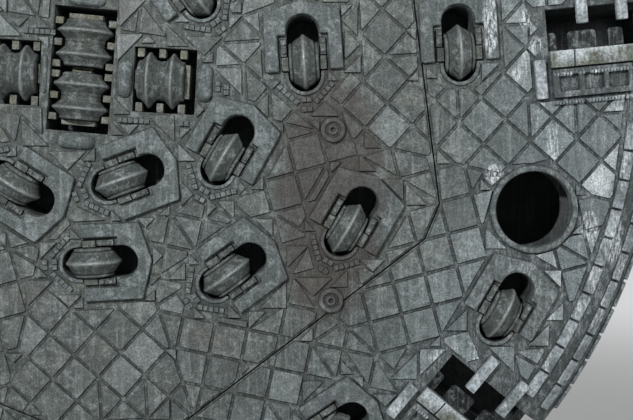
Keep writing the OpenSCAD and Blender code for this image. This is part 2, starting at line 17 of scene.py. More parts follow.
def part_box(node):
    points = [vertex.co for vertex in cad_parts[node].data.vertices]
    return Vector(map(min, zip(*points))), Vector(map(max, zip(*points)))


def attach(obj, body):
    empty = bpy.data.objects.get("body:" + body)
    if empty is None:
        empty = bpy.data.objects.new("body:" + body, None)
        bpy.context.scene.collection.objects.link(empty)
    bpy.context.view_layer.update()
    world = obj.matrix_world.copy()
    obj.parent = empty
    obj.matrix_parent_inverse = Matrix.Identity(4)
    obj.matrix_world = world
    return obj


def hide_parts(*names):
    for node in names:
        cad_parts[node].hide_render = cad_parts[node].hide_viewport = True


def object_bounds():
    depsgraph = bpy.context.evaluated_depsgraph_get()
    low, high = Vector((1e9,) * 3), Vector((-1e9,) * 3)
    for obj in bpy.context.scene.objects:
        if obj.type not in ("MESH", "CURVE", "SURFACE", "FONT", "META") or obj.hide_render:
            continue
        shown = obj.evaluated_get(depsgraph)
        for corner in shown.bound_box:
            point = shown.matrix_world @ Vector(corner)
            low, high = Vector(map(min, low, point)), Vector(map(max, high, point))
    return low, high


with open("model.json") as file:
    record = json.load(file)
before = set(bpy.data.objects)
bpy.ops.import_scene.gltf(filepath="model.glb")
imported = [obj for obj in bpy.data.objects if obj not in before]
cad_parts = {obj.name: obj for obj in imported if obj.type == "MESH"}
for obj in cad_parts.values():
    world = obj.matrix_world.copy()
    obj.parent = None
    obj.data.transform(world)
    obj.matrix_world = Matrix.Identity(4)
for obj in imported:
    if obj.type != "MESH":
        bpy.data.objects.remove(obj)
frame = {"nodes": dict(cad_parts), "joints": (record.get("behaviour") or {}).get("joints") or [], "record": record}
CAD_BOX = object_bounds()

bl_info = {
    "name": "Tunnel cutterhead dressing",
    "version": (1, 0, 0),
    "blender": (4, 5, 0),
    "location": "3D View > Sidebar > Cutterhead",
    "description": "Gives the solids of a tunnel cutterhead their finishes, bolts and worn edges",
    "category": "Object",
}

HEAD = "head"
FACE_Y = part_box("centre_face")[0].y
OUT = Vector((0, -1, 0))
RIGHT = Vector((1, 0, 0))
UP = Vector((0, 0, 1))
SHARP = math.radians(35)


def hex_colour(code):
    """Linear RGBA of an sRGB hex value such as #808080."""
    parts = [int(code[i : i + 2], 16) / 255 for i in (1, 3, 5)]
    linear = [c / 12.92 if c <= 0.04045 else ((c + 0.055) / 1.055) ** 2.4 for c in parts]
    return (*linear, 1.0)


def colour(label, note, code):
    """A colour property with its default given in sRGB."""
    return bpy.props.FloatVectorProperty(
        name=label,
        description=note,
        subtype="COLOR",
        size=4,
        min=0.0,
        max=1.0,
        default=hex_colour(code),
    )


def length(label, note, metres):
    """A length property in metres."""
    return bpy.props.FloatProperty(
        name=label, description=note, default=metres, min=0.0, unit="LENGTH", precision=4
    )


def turned(direction_deg, radius, along=0.0):
    """Point of the face plane at a direction and radius, moved along the head's travel."""
    a = math.radians(direction_deg)
    outward = Vector((math.cos(a), 0, math.sin(a)))
    travel = Vector((-math.sin(a), 0, math.cos(a)))
    return outward * radius + travel * along


class CutterheadSizes(bpy.types.PropertyGroup):
    """Sizes that a user would change."""

    face_edge: length("Face plate edge", "Radius worn on the edges of the face plates", 0.004)
    guard_edge: length("Guard edge", "Radius cast on the edges of the cutter guards", 0.013)
    tile_edge: length("Wear plate edge", "Radius worn on the edges of the wear plates", 0.003)
    ring_edge: length("Manhole rim edge", "Radius worn on the edges of the manhole's rim", 0.016)
    block_edge: length("Block edge", "Radius worn on scrapers, bars and rim blocks", 0.007)
    tile_thick: length("Wear plate thickness", "How far a wear plate stands out", 0.022)
    tile_gap: length("Small plate gap", "Least distance between a small plate and others", 0.013)
    tile_lift: length("Wear plate unevenness", "Most that a plate's top lies off height", 0.004)
    holder_bolt: length("Holder bolt", "Across flats of the bolts in the scraper holders", 0.0185)
    holder_pitch: length("Holder bolt pitch", "Distance between bolts in a scraper holder", 0.0245)
    lock_bolt: length("Lock bolt", "Across flats of the bolts in the cutter locks", 0.026)
    flange_bolt: length("Flange bolt", "Across flats of the bolts in the rear flange", 0.09)
    block_length: length("Rim block length", "Length of a rim block round the head", 0.215)
    block_width: length("Rim block width", "Width of a rim block", 0.085)
    block_height: length("Rim block height", "How far a rim block stands out of the rim", 0.026)
    bar_share: bpy.props.FloatProperty(
        name="Bar edge share", description="Edge radius of a thin bar as a share of a guard's",
        default=0.3, min=0.0, max=1.0,
    )
    tab_round: length("Tab corner", "Radius of the corners of the tabs behind the scrapers", 0.03)
    bead: length("Weld bead", "Radius of the weld beads behind the face", 0.011)
    buckets: bpy.props.IntProperty(
        name="Buckets", description="Number of bucket openings", default=8, min=1
    )
    bucket_turn: bpy.props.FloatProperty(
        name="First bucket", description="Direction of the first bucket in degrees", default=5.5
    )
    camera_distance: length("Camera distance", "Distance of the camera from the face", 8.43)
    camera_lens: bpy.props.FloatProperty(
        name="Lens", description="Focal length on a 36 mm sensor, in mm", default=61.9, min=1.0
    )


class CutterheadColours(bpy.types.PropertyGroup):
    """Colours that a user would change."""

    face: colour("Face plate", "Structural plate under rock dust", "#5a5f5a")
    face_stain: colour("Face plate stain", "Damp and oily patches", "#444a48")
    tile: colour("Wear plate", "Scoured wear plate", "#6b706c")
    tile_stain: colour("Wear plate stain", "Darker wear plates and patches", "#4c5251")
    face_outer: colour("Outer face plate", "Face plate between the outer wear plates", "#454b4e")
    # Partly paler paste and partly painted light: the outer wear plates are made paler to stand in for brighter
    # light there.
    tile_outer_paste_and_light: colour("Outer wear plate", "Paler wear plates of the outer ring", "#7b868a")
    guard: colour("Guard", "Cast steel of the guards", "#5b6162")
    guard_stain: colour("Guard stain", "Patches on the guards", "#4d5454")
    block: colour("Block", "Rock paste on scrapers, bars and rim blocks", "#a7b0b6")
    block_stain: colour("Block stain", "Bare steel of the blocks", "#6d7577")
    ring: colour("Cutter ring", "Flanks of the disc rings", "#444944")
    crest: colour("Cutting edge", "Edge of a ring, bright from the rock", "#989e9e")
    hub: colour("Cutter hub", "Hub under rock dust", "#464b46")
    lock: colour("Cutter locks", "Locks and end blocks of the shafts", "#5d605a")
    clamp: colour("Centre clamps", "Blocks that hold the twin cutters' shafts", "#77755f")
    olive: colour("Olive paste", "Foot of the scrapers", "#5c6156")
    frame: colour("Framework", "Primed steel behind the face", "#565c5d")
    frame_stain: colour("Framework stain", "Damp patches on the framework", "#33383a")
    bolt: colour("Bolts", "Heads of the bolts", "#858c8c")
    paste: colour("Rock paste", "Pale dried slurry", "#959d9e")
    chalk: colour("Chalk", "White runs and patches on the outer ring", "#c3cacd")
    rust: colour("Rust", "Brown film on damp steel", "#4c4440")
    damp: colour("Damp patch", "Brown damp steel beside the centre", "#443f3c")
    # The mud colour is dark mud on the tabs and also painted shade: every finish darkens its corners towards it.
    mud_and_shade: colour("Mud", "Dark mud in the corners", "#181a1b")
    floor: colour("Floor", "Plain studio floor", "#d9dad8")
    backdrop: colour("Backdrop", "Pale studio background", "#d3d5d6")


def sizes():
    return bpy.context.scene.cutterhead_sizes


def colours():
    return bpy.context.scene.cutterhead_colours


def add_node(tree, kind, inputs=None, **settings):
    """Adds a node with its settings, and fills or links its inputs."""
    new = tree.nodes.new(kind)
    for key, value in settings.items():
        setattr(new, key, value)
    for key, value in (inputs or {}).items():
        if isinstance(value, bpy.types.NodeSocket):
            tree.links.new(value, new.inputs[key])
        else:
            new.inputs[key].default_value = value
    return new


# Lamps: name, place and aim as (x, distance before the face, z), power in watts, and size
LAMPS = (
    ("key", (-1.4, 8.3, 3.0), (1.8, 0, -1.0), 740.0, 0.45),
    ("fill", (7.5, 6.0, 2.5), (1.8, 0, -1.0), 240.0, 3.0),
    ("back", (-5.0, -9.85, 6.0), (0, -1.85, 0), 900.0, 6.0),
)
# Camera of the photograph and the point of the face that it looks at
CAMERA_X, CAMERA_Z = 1.81, -0.57
AIM_X, AIM_Z = 1.814, -1.035
# The floor: how far under the head, its half width, and where it fades into the backdrop
FLOOR_DROP, FLOOR_HALF, FADE = 0.01, 60.0, (7.0, 22.0)
# White smears with places of their own: x, z and half sizes
SCUFFS = (
    (3.14, 0.376, 0.06, 0.25),
    (3.35, 0.015, 0.035, 0.06),
    (3.42, 0.42, 0.045, 0.09),
    (3.50, 0.23, 0.055, 0.07),
    (3.19, -0.76, 0.07, 0.08),
    (3.93, -1.17, 0.07, 0.12),
    (4.12, -1.25, 0.08, 0.2),
)
# Brown damp patch in the same terms
DAMP = (1.9, -0.95, 0.42, 1.0)
# Kinds of node that the finishes are mixed from
NOISE, RANGE, MATHS = "ShaderNodeTexNoise", "ShaderNodeMapRange", "ShaderNodeMath"
VECTORS, MIX = "ShaderNodeVectorMath", "ShaderNodeMix"
# Patterns of the dust: how many go into a metre across and down, their detail and raggedness.
# A stain is 1.25 m wide, a film 625 mm, a patch 170 mm and a blotch 67 mm; a run is 30 mm wide
# and half a metre long, a smear 110 by 385 mm and a scribble 17 by 70 mm.
PATTERNS = {
    "stain": (0.8, 0.8, 5.0, 0.6),
    "film": (1.6, 1.6, 4.0, 0.55),
    "patch": (6.0, 6.0, 6.0, 0.62),
    "blotch": (15.0, 15.0, 5.0, 0.7),
    "run": (34.0, 1.9, 5.0, 0.65),
    "smear": (9.0, 2.6, 6.0, 0.7),
    "scribble": (60.0, 14.0, 4.0, 0.7),
}
# Scour marks: how many go into a metre outward, so 16 mm each, and how they break up going round
SCOURS, SCOUR_BREAKS = 62.0, 9.0
# Detail and raggedness of the scour marks and of the grit
SCOUR_NOISE, GRIT_NOISE = (3.0, 0.65), (4.0, 0.65)


def mapped(tree, spans, share=1.0):
    """Product of a share and of patterns, each mapped softly from one span to another.

    A span is the pattern, the two values between which it is read, and the two that it gives
    there, which are 0 and 1 if left out.
    """
    product = share
    for pattern, *levels in spans:
        inputs = {0: pattern, **dict(enumerate(levels, 1))}
        level = add_node(tree, RANGE, inputs, interpolation_type="SMOOTHSTEP").outputs[0]
        product = add_node(tree, MATHS, {0: level, 1: product}, operation="MULTIPLY").outputs[0]
    return product


def lay(tree, tint, over, spans, share=1.0):
    """Lays a colour over a tint, as thickly as the mapped patterns say."""
    inputs = {0: mapped(tree, spans, share), 6: tint, 7: over}
    return add_node(tree, MIX, inputs, data_type="RGBA").outputs[2]


def ragged_distance(tree, place, patch, x, z, half_x, half_z):
    """Distance from a spot's middle in its half sizes, made ragged by the patches."""
    away = add_node(tree, VECTORS, {0: place, 1: (x, 0, z)}, operation="SUBTRACT").outputs[0]
    shares = (1 / half_x, 0, 1 / half_z)
    away = add_node(tree, VECTORS, {0: away, 1: shares}, operation="MULTIPLY").outputs[0]
    away = add_node(tree, VECTORS, {0: away}, operation="LENGTH").outputs["Value"]
    return add_node(tree, MATHS, {0: away, 1: patch}, operation="ADD").outputs[0]


def dust_patterns(tree, place, grain):
    """Noises that every finish is mixed from, by name, and the distance from the head's axis.

    Runs go straight down, and scour marks go round the axis.
    """
    flat = add_node(tree, VECTORS, {0: place, 1: (1, 0, 1)}, operation="MULTIPLY").outputs[0]
    radius = add_node(tree, VECTORS, {0: flat}, operation="LENGTH").outputs["Value"]
    direction = add_node(tree, VECTORS, {0: flat}, operation="NORMALIZE").outputs[0]
    outward = add_node(tree, MATHS, {0: radius, 1: SCOURS}, operation="MULTIPLY").outputs[0]
    outward = add_node(tree, "ShaderNodeCombineXYZ", {1: outward}).outputs[0]
    round_axis = add_node(
        tree,
        VECTORS,
        {0: direction, 1: (SCOUR_BREAKS, SCOUR_BREAKS, SCOUR_BREAKS), 2: outward},
        operation="MULTIPLY_ADD",
    ).outputs[0]
    rows = {"scour": (round_axis, *SCOUR_NOISE)}
    grit = {"grit": (1 / grain, 1 / grain, *GRIT_NOISE)}
    for name, (across, down, *looks) in (PATTERNS | grit).items():
        counts = (across, across, down)
        vector = add_node(tree, VECTORS, {0: place, 1: counts}, operation="MULTIPLY").outputs[0]
        rows[name] = (vector, *looks)
    made = {}
    for name, (vector, detail, ragged) in rows.items():
        inputs = {"Vector": vector, "Scale": 1.0, "Detail": detail, "Roughness": ragged}
        made[name] = add_node(tree, NOISE, inputs).outputs[0]
    return made, radius


def steel(
    name,
    base,
    stain,
    paste,
    metallic=0.0,
    rough=0.74,
    grain=0.012,
    bump=0.0016,
    streaks=0.3,
    scour=0.15,
    chalk=0.0,
    rust=0.12,
    mud_and_shade=0.75,
    tone=None,
    wear=None,
    outer_tint=None,
    shine=0.2,
    blotches=1.0,
):
    """Steel under a skin of rock dust: stains, grit, runs of water, scour marks, chalk and rust, and painted shade
    in the corners.

    grain is the size of the finest mottling, drawn coarser than the real grit so that it shows.
    Chalk lies on the outer ring, painted shade darkens the corners where two pieces meet
    towards the mud colour, and a few smears have places of their own.
    outer_tint is the colour that the outer ring goes over to; on the wear plates it is paler,
    partly paste and partly painted light.
    tone names an attribute that lightens or darkens a plate, wear one that bares bright metal.
    """
    made = bpy.data.materials.new(name)
    made.use_nodes = True
    tree = made.node_tree
    tree.nodes.clear()
    place = add_node(tree, "ShaderNodeTexCoord").outputs["Object"]
    dust, radius = dust_patterns(tree, place, grain)
    patch, grit = dust["patch"], dust["grit"]
    rim = add_node(tree, MATHS, {0: patch, 1: 0.9, 2: radius}, operation="MULTIPLY_ADD").outputs[0]
    scribbled = (dust["scribble"], 0.42, 0.6)

    tint = lay(tree, stain, base, [(patch, 0.38, 0.62)])
    tint = lay(tree, tint, stain, [(dust["stain"], 0.58, 0.42)], 0.5)
    # On the wear plates this paler outer tint is partly painted light, standing in for brighter light towards the
    # rim.
    if outer_tint:
        tint = lay(tree, tint, outer_tint, [(radius, 2.6, 3.7)], 0.75)
    tint = lay(tree, tint, paste, [(dust["blotch"], 0.5, 0.62)], 0.4 * blotches)
    tint = lay(tree, tint, stain, [(dust["blotch"], 0.5, 0.36)], 0.6 * blotches)
    chalky = [(dust["smear"], 0.47, 0.6), scribbled, (rim, 3.5, 4.3)]
    if tone:
        plate = add_node(tree, "ShaderNodeAttribute", attribute_name=tone).outputs["Fac"]
        tint = lay(tree, tint, stain, [(plate, 0.5, 0.0)], 0.6)
        tint = lay(tree, tint, paste, [(plate, 0.7, 1.0)], 0.3)
        pale = [(plate, 0.5, 0.95), (radius, 3.5, 4.0), (patch, 0.35, 0.55)]
        tint = lay(tree, tint, colours().chalk, pale, 0.6)
        chalky.append((plate, 0.25, 0.8, 0.25, 1.6))
    white = mapped(tree, chalky, chalk)
    tint = lay(tree, tint, paste, [(dust["run"], 0.5, 0.7)], streaks)
    tint = lay(tree, tint, stain, [(dust["run"], 0.48, 0.3)], streaks)
    tint = lay(tree, tint, paste, [(dust["scour"], 0.55, 0.72), (patch, 0.35, 0.6)], scour)
    tint = lay(tree, tint, colours().rust, [(dust["film"], 0.55, 0.7)], rust)
    if chalk:
        for scuff in SCUFFS:
            near = (ragged_distance(tree, place, patch, *scuff), 1.65, 1.25)
            smeared = mapped(tree, [near, scribbled])
            white = add_node(tree, MATHS, {0: white, 1: smeared}, operation="MAXIMUM").outputs[0]
        near = (ragged_distance(tree, place, patch, *DAMP), 1.65, 1.25)
        tint = lay(tree, tint, colours().damp, [near], 0.7)
    tint = lay(tree, tint, colours().chalk, [], white)
    speckle = mapped(tree, [(grit, 0.28, 0.72, 0.4, 1.5)])
    tint = add_node(
        tree, MIX, {0: 0.8, 6: tint, 7: speckle}, data_type="RGBA", blend_type="MULTIPLY"
    ).outputs[2]

    # Painted shade: ambient occlusion within 22 mm, broken up by the grit, darkens the corners where pieces meet
    # towards the mud colour.
    corner = add_node(
        tree, "ShaderNodeAmbientOcclusion", {"Distance": 0.022}, samples=6
    ).outputs["AO"]
    corner = add_node(
        tree, MATHS, {0: grit, 1: 0.3, 2: corner}, operation="MULTIPLY_ADD"
    ).outputs[0]
    tint = lay(tree, tint, colours().mud_and_shade, [(corner, 0.99, 0.61)], mud_and_shade)

    relief = 0.0
    for pattern, share in ((patch, 1.2), (grit, 0.45), (dust["run"], 0.35)):
        relief = add_node(
            tree, MATHS, {0: pattern, 1: share, 2: relief}, operation="MULTIPLY_ADD"
        ).outputs[0]
    inputs = {"Metallic": metallic, "Specular IOR Level": shine}
    roughness = mapped(tree, [(patch, 0.3, 0.7, rough - 0.14, rough + 0.1)])
    if wear:
        bare = add_node(tree, "ShaderNodeAttribute", attribute_name=wear).outputs["Fac"]
        bare = mapped(tree, [(grit, 0.3, 0.6, 0.45, 1.0)], bare)
        tint = lay(tree, tint, colours().crest, [], bare)
        roughness = mapped(tree, [(bare, 0.0, 1.0, 1.0, 0.62)], roughness)
        inputs["Metallic"] = mapped(tree, [(bare, 0.0, 1.0, metallic, 0.7)])
    inputs["Base Color"] = tint
    inputs["Roughness"] = roughness
    inputs["Normal"] = add_node(
        tree, "ShaderNodeBump", {"Strength": 1.0, "Distance": bump, "Height": relief}
    ).outputs[0]
    shader = add_node(tree, "ShaderNodeBsdfPrincipled", inputs)
    add_node(tree, "ShaderNodeOutputMaterial", {0: shader.outputs[0]})
    return made


def finish(name):
    """The finish of that name, made once."""
    c = colours()
    if name in bpy.data.materials:
        return bpy.data.materials[name]
    makers = {
        # Hot-rolled structural plate, blasted by rock: matt, grey-green, with damp stains
        "rolled_plate_dusty": lambda n: steel(
            n, c.face, c.face_stain, c.paste, chalk=0.3, outer_tint=c.face_outer
        ),
        # Through-hardened wear plate: a tone of its own on each piece, chalky on the outer ring and paler there,
        # partly as painted light
        "hardened_wear_plate": lambda n: steel(
            n, c.tile, c.tile_stain, c.paste, chalk=0.85, tone="tone", rust=0.35, streaks=0.35,
            outer_tint=c.tile_outer_paste_and_light,
        ),
        # Cast steel: smoother and a little bluer, soft highlights on its rounded edges
        "cast_steel_guard": lambda n: steel(
            n, c.guard, c.guard_stain, c.paste, rough=0.62, bump=0.0012, chalk=0.35, rust=0.05
        ),
        # Hardfaced blocks under dried rock paste: nearly white where it is thick
        "hardfaced_block_pasted": lambda n: steel(
            n, c.block, c.block_stain, c.paste, rough=0.8, bump=0.003, grain=0.02, chalk=1.0
        ),
        # The same hardfacing on a scraper: white at its lip and olive at its foot
        "hardfaced_scraper_pasted": lambda n: steel(
            n, c.block, c.olive, c.chalk, rough=0.8, bump=0.003, grain=0.02, tone="tone", mud_and_shade=0.5
        ),
        # Hot-work tool steel, ground bright at the edge by the rock and dull on its flanks
        "tool_steel_disc_ring": lambda n: steel(
            n, c.ring, c.face_stain, c.paste, rough=0.82, bump=0.0008, scour=0.0, wear="wear"
        ),
        # Turned hub of forged steel, its paint scoured off and dusty
        "forged_hub_dusty": lambda n: steel(
            n, c.hub, c.face_stain, c.paste, rough=0.8, bump=0.001, scour=0.0, wear="wear"
        ),
        # Machined blocks that lock the shafts, with dried paste in the corners
        "machined_lock_steel": lambda n: steel(n, c.lock, c.face_stain, c.paste, scour=0.0),
        # The same blocks at the centre, where the paste is yellow with clay
        "machined_clamp_clayed": lambda n: steel(n, c.clamp, c.lock, c.paste, scour=0.0),
        # Structural steel in a thin grey primer, behind the face and out of the rock
        "primed_framework_steel": lambda n: steel(
            n, c.frame, c.frame_stain, c.paste, scour=0.0, bump=0.0008, rust=0.3, shine=0.4,
            blotches=0.25,
        ),
        # Flame-cut tabs inside the buckets, dark with damp mud
        "cut_plate_muddy": lambda n: steel(n, c.frame_stain, c.mud_and_shade, c.paste, scour=0.0),
        # Zinc-flaked bolt heads, dusty
        "bolt_steel_dusty": lambda n: steel(
            n, c.bolt, c.face_stain, c.paste, metallic=0.4, scour=0.0, grain=0.006, bump=0.0004
        ),
    }
    return makers[name](name)


def link(name, mesh):
    piece = bpy.data.objects.new(name, mesh)
    bpy.context.scene.collection.objects.link(piece)
    return piece


def round_edges(piece, width, segments):
    """Rounds the sharp edges of a piece and keeps its flat faces flat."""
    bevel = piece.modifiers.new("rounded_edges", "BEVEL")
    bevel.width = width
    bevel.segments = segments
    bevel.limit_method = "ANGLE"
    bevel.angle_limit = SHARP
    bevel.use_clamp_overlap = False
    bevel.harden_normals = True


def cleaned(node):
    """Mesh of a CAD node with its triangles joined and its flat faces whole."""
    mesh = bpy.data.meshes.new(node + "_dressed")
    bm = bmesh.new()
    bm.from_mesh(frame["nodes"][node].data)
    bmesh.ops.remove_doubles(bm, verts=bm.verts, dist=2e-5)
    bmesh.ops.dissolve_degenerate(bm, dist=1e-5, edges=bm.edges)
    bmesh.ops.dissolve_limit(
        bm, angle_limit=math.radians(0.6), verts=bm.verts, edges=bm.edges, delimit={"NORMAL"}
    )
    for face in bm.faces:
        face.smooth = True
    for edge in bm.edges:
        edge.smooth = len(edge.link_faces) == 2 and edge.calc_face_angle() < SHARP
    bm.to_mesh(mesh)
    bm.free()
    for layer in [a.name for a in mesh.attributes if a.name == "custom_normal"]:
        mesh.attributes.remove(mesh.attributes[layer])
    return mesh


def dressed(node, piece_name, material, width, segments):
    """A piece with a CAD node's shape and rounded edges, which stands for that node."""
    piece = link(piece_name, cleaned(node))
    piece.data.materials.clear()
    piece.data.materials.append(finish(material))
    round_edges(piece, width, segments)
    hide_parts(node)
    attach(piece, HEAD)
    return piece


def places():
    """Each cutter's joint as (name, middle, shaft direction, travel, outward normal)."""
    rows = []
    for joint in frame["joints"]:
        middle = Vector(joint["pos_m"])
        shaft = Vector(joint["axis"]).normalized()
        tilt = math.asin(max(-1.0, min(1.0, shaft.y)))
        outward = Vector((shaft.x, 0, shaft.z)).normalized()
        normal = outward * math.sin(tilt) + OUT * math.cos(tilt)
        rows.append((joint["child"], middle, shaft, normal.cross(shaft).normalized(), normal))
    return rows


def bucket_place(place):
    """Distance outward and along the head's travel from the nearest bucket's middle line."""
    flat = Vector((place[0], 0, place[2]))
    count = sizes().buckets
    rows = []
    for k in range(count):
        direction = sizes().bucket_turn + k * 360 / count
        rows.append((flat.dot(turned(direction, 1.0)), flat.dot(turned(direction, 0.0, 1.0))))
    return max(rows)


def is_twin(name):
    return name.startswith("twin")


# Half outline of a single cutter: place along the shaft and radius in mm, finish, bareness
HALF_SINGLE = [
    (114, 48, 1, 0.0),
    (114, 96, 1, 0.0),
    (109, 98, 1, 0.0),
    (109, 108, 1, 0.0),
    (114, 110, 1, 0.1),
    (114, 139, 1, 0.1),
    (108, 149, 1, 0.2),
    (99, 153, 1, 0.1),
    (93, 153, 1, 0.0),
    (91, 148, 1, 0.0),
    (86, 148, 1, 0.0),
    (84, 154, 1, 0.05),
    (78, 164, 0, 0.1),
    (64, 173, 0, 0.0),
    (48, 184, 0, 0.0),
    (30, 196, 0, 0.0),
    (18, 205, 0, 0.05),
    (12, 210.5, 0, 0.25),
    (7, 214.5, 0, 0.6),
    (0, 216, 0, 0.85),
]
# Half outline of a twin cutter: its outer end, a ring, and half the barrel between the rings
HALF_TWIN = [
    (180, 48, 1, 0.0),
    (180, 96, 1, 0.0),
    (174, 98, 1, 0.0),
    (174, 108, 1, 0.0),
    (180, 110, 1, 0.05),
    (180, 140, 1, 0.05),
    (174, 151, 1, 0.1),
    (166, 154, 1, 0.05),
    (153, 154, 1, 0.0),
    (146, 161, 0, 0.05),
    (131.5, 175, 0, 0.0),
    (112, 195, 0, 0.0),
    (104, 208, 0, 0.15),
    (98.5, 214.5, 0, 0.45),
    (91.5, 216, 0, 0.55),
    (84.5, 214.5, 0, 0.45),
    (79, 208, 0, 0.15),
    (71, 195, 0, 0.0),
    (51.5, 175, 0, 0.0),
    (37, 161, 0, 0.05),
    (30, 154, 1, 0.0),
    (8, 154, 1, 0.05),
    (6, 150, 1, 0.0),
    (0, 150, 1, 0.0),
]
# Turned outline of a spray nozzle: height over the face and radius in mm, a groove round its hole
NOZZLE = [(h, r, 0, 0.0) for r, h in (
    (1, 4), (20, 6), (20, 30), (24, 32), (34, 32), (38, 28), (38, 14), (60, 14), (62, 30),
    (66, 34), (84, 35), (91, 32), (95, 26), (95, -2), (1, -2),
)]
NOZZLES = ((1.942, -0.415), (1.926, -1.740))
AROUND = 96
# Grid on which the bare spots of the face are found, and its cells from the middle to the edge
GRID = 0.01
GRID_HALF = 420
# A point this near the height of the face lies on it
FLAT = 0.001
# Legs of the small triangular wear plates, and how deep they sit in the face
SMALL_LEGS = (0.2, 0.16, 0.13, 0.1, 0.08)
PLATE_SEAT = 0.002
# Most slope of a plate's top, and the height over which a corner belongs to the top
PLATE_LEAN, PLATE_FOOT = 0.008, 0.005
# The holders' tops over the face; lock bolts beside, along and over a cutter's middle
HOLDER_RISE = 0.045
LOCK_SIDE, LOCK_ALONG, LOCK_RISE = 0.151, (0.078, 0.144), 0.096
# A bolt's measures as shares of its size across flats or of its head's height
BOLT_SHARES = (
    ("top", "Across flats", 0.53),
    ("foot", "Across flats", 0.577),
    ("washer", "Across flats", 0.82),
    ("washer_thick", "Head height", 0.3),
    ("head_lift", "Head height", 0.2),
    ("washer_lift", "Head height", 0.12),
)
# Thickness of the flange, and the turn of its bolts' heads in degrees
FLANGE_T, FLANGE_BOLT_TURN = 0.12, 15
# Weld beads of the drum as (radius, place along the axis), and points round a bead
BEADS = ((2.5, -0.7), (2.4, -0.7), (2.5, -FLANGE_T), (2.4, -FLANGE_T))
BEAD_POINTS = 180
BEAD_STEP = 0.012
# Rows of rim blocks: degrees round the gauge curve from the face, and blocks in a row
BLOCK_ROWS = ((5.0, 116), (36.0, 120), (68.0, 122))
# The gauge curve: where it starts and its radius; rows beyond the first are set over by half
CURVE_START, CURVE_R, FIRST_ROW = 4.2364, 0.35, 20.0
# How deep a block sits, and what the blocks keep clear of, along the head's travel
BLOCK_SEAT = 0.004
CLEAR_OF_HOLDER, CLEAR_OF_SCRAPER, CLEAR_OF_BUCKET = -0.66, -0.42, 0.29
CLEAR_OF_CUTTER, CUTTER_NEAR = (-0.4, 0.54), 1.0
# Cutters farther out than this sit in the rim
GAUGE_FROM = 4.0
# A guard node's piece lower than this is a wear bar
THIN = 0.032
# Tabs behind a scraper, from and to, outward from the axis, then along the head's travel
TABS = ((3.565, 3.68), (3.77, 3.99), (4.085, 4.2))
TAB_RANGE = (-0.165, -0.015)
# Their depth behind the face, thickness, and steps round a corner
TAB_DEPTH, TAB_T, TAB_STEPS = 0.06, 0.03, 4
# Scraper and holder along the head's travel, from a bucket's middle line
SCRAPER_TOP, SCRAPER_FOOT, SCRAPER_WIDTH = -0.1, -0.28, 0.12
HOLDER_TOP, HOLDER_END = -0.284, -0.62
# Bare band round a bucket, along the same line, and how near the axis it starts
BUCKET_TOP, BUCKET_FOOT = 0.3, 3.54
# No bucket comes nearer the axis than this
BUCKET_CLEAR = 3.5
# Cover before the hole for the water line: its lap and thickness in mm
COVER_LAP, COVER_T = 30, 12
# Blocks this near the middle of a twin cutter are its clamps
CLAMP_REACH = 0.36
# Rows of bolts in a scraper holder: place along the head's travel, then the groups outward
HOLDER_ROWS = (
    (-0.345, ((3.625, 3.765), (3.82, 3.865), (3.915, 4.165), (4.185, 4.21))),
    (-0.562, ((3.60, 3.84), (3.88, 4.13), (4.17, 4.21))),
)


def both_halves(half):
    """Whole outline of a cutter from its half outline."""
    return half + [(-u, *rest) for u, *rest in reversed(half) if u > 0]


def turned_mesh(name, outline, seats):
    """Closed turned shapes, one on each seat, with a map round and along it and a bareness value.

    A seat is the middle, the axis and two directions across it.
    """
    bm = bmesh.new()
    bare_layer = bm.verts.layers.float.new("wear")
    uv_layer = bm.loops.layers.uv.new("turned")
    outline = [(u / 1000, r / 1000, kind, bare) for u, r, kind, bare in outline]
    count = len(outline)
    for middle, axis, first, second in seats:
        rings = []
        for u, r, _, bare in outline:
            ring = []
            for i in range(AROUND):
                a = 2 * math.pi * i / AROUND
                vert = bm.verts.new(
                    middle + axis * u + (first * math.cos(a) + second * math.sin(a)) * r
                )
                vert[bare_layer] = bare
                ring.append(vert)
            rings.append(ring)
        run = 0.0
        for k in range(count):
            nxt = (k + 1) % count
            step = math.hypot(outline[nxt][0] - outline[k][0], outline[nxt][1] - outline[k][1])
            for i in range(AROUND):
                j = (i + 1) % AROUND
                face = bm.faces.new((rings[k][i], rings[k][j], rings[nxt][j], rings[nxt][i]))
                face.smooth = True
                face.material_index = max(outline[k][2], outline[nxt][2])
                corners = ((i, run), (i + 1, run), (i + 1, run + step), (i, run + step))
                for loop, (turn, along) in zip(face.loops, corners):
                    loop[uv_layer].uv = (turn / AROUND, along)
            run += step
    bmesh.ops.recalc_face_normals(bm, faces=bm.faces)
    for edge in bm.edges:
        edge.smooth = edge.calc_face_angle(0.0) < math.radians(32)
    mesh = bpy.data.meshes.new(name)
    bm.to_mesh(mesh)
    bm.free()
    return mesh


def islands(bm):
    """Lists of the faces that hang together."""
    seen, found = set(), []
    for first in bm.faces:
        if first in seen:
            continue
        island, queue = [], [first]
        seen.add(first)
        while queue:
            face = queue.pop()
            island.append(face)
            for edge in face.edges:
                for other in edge.link_faces:
                    if other not in seen:
                        seen.add(other)
                        queue.append(other)
        found.append(island)
    return found


def node_group(name, inputs):
    """A new geometry tree with named inputs, and its input and output nodes."""
    tree = bpy.data.node_groups.new(name, "GeometryNodeTree")
    face = tree.interface
    face.new_socket("Geometry", in_out="INPUT", socket_type="NodeSocketGeometry")
    for label, kind in inputs:
        face.new_socket(label, in_out="INPUT", socket_type=kind)
    face.new_socket("Geometry", in_out="OUTPUT", socket_type="NodeSocketGeometry")
    return tree, add_node(tree, "NodeGroupInput"), add_node(tree, "NodeGroupOutput")


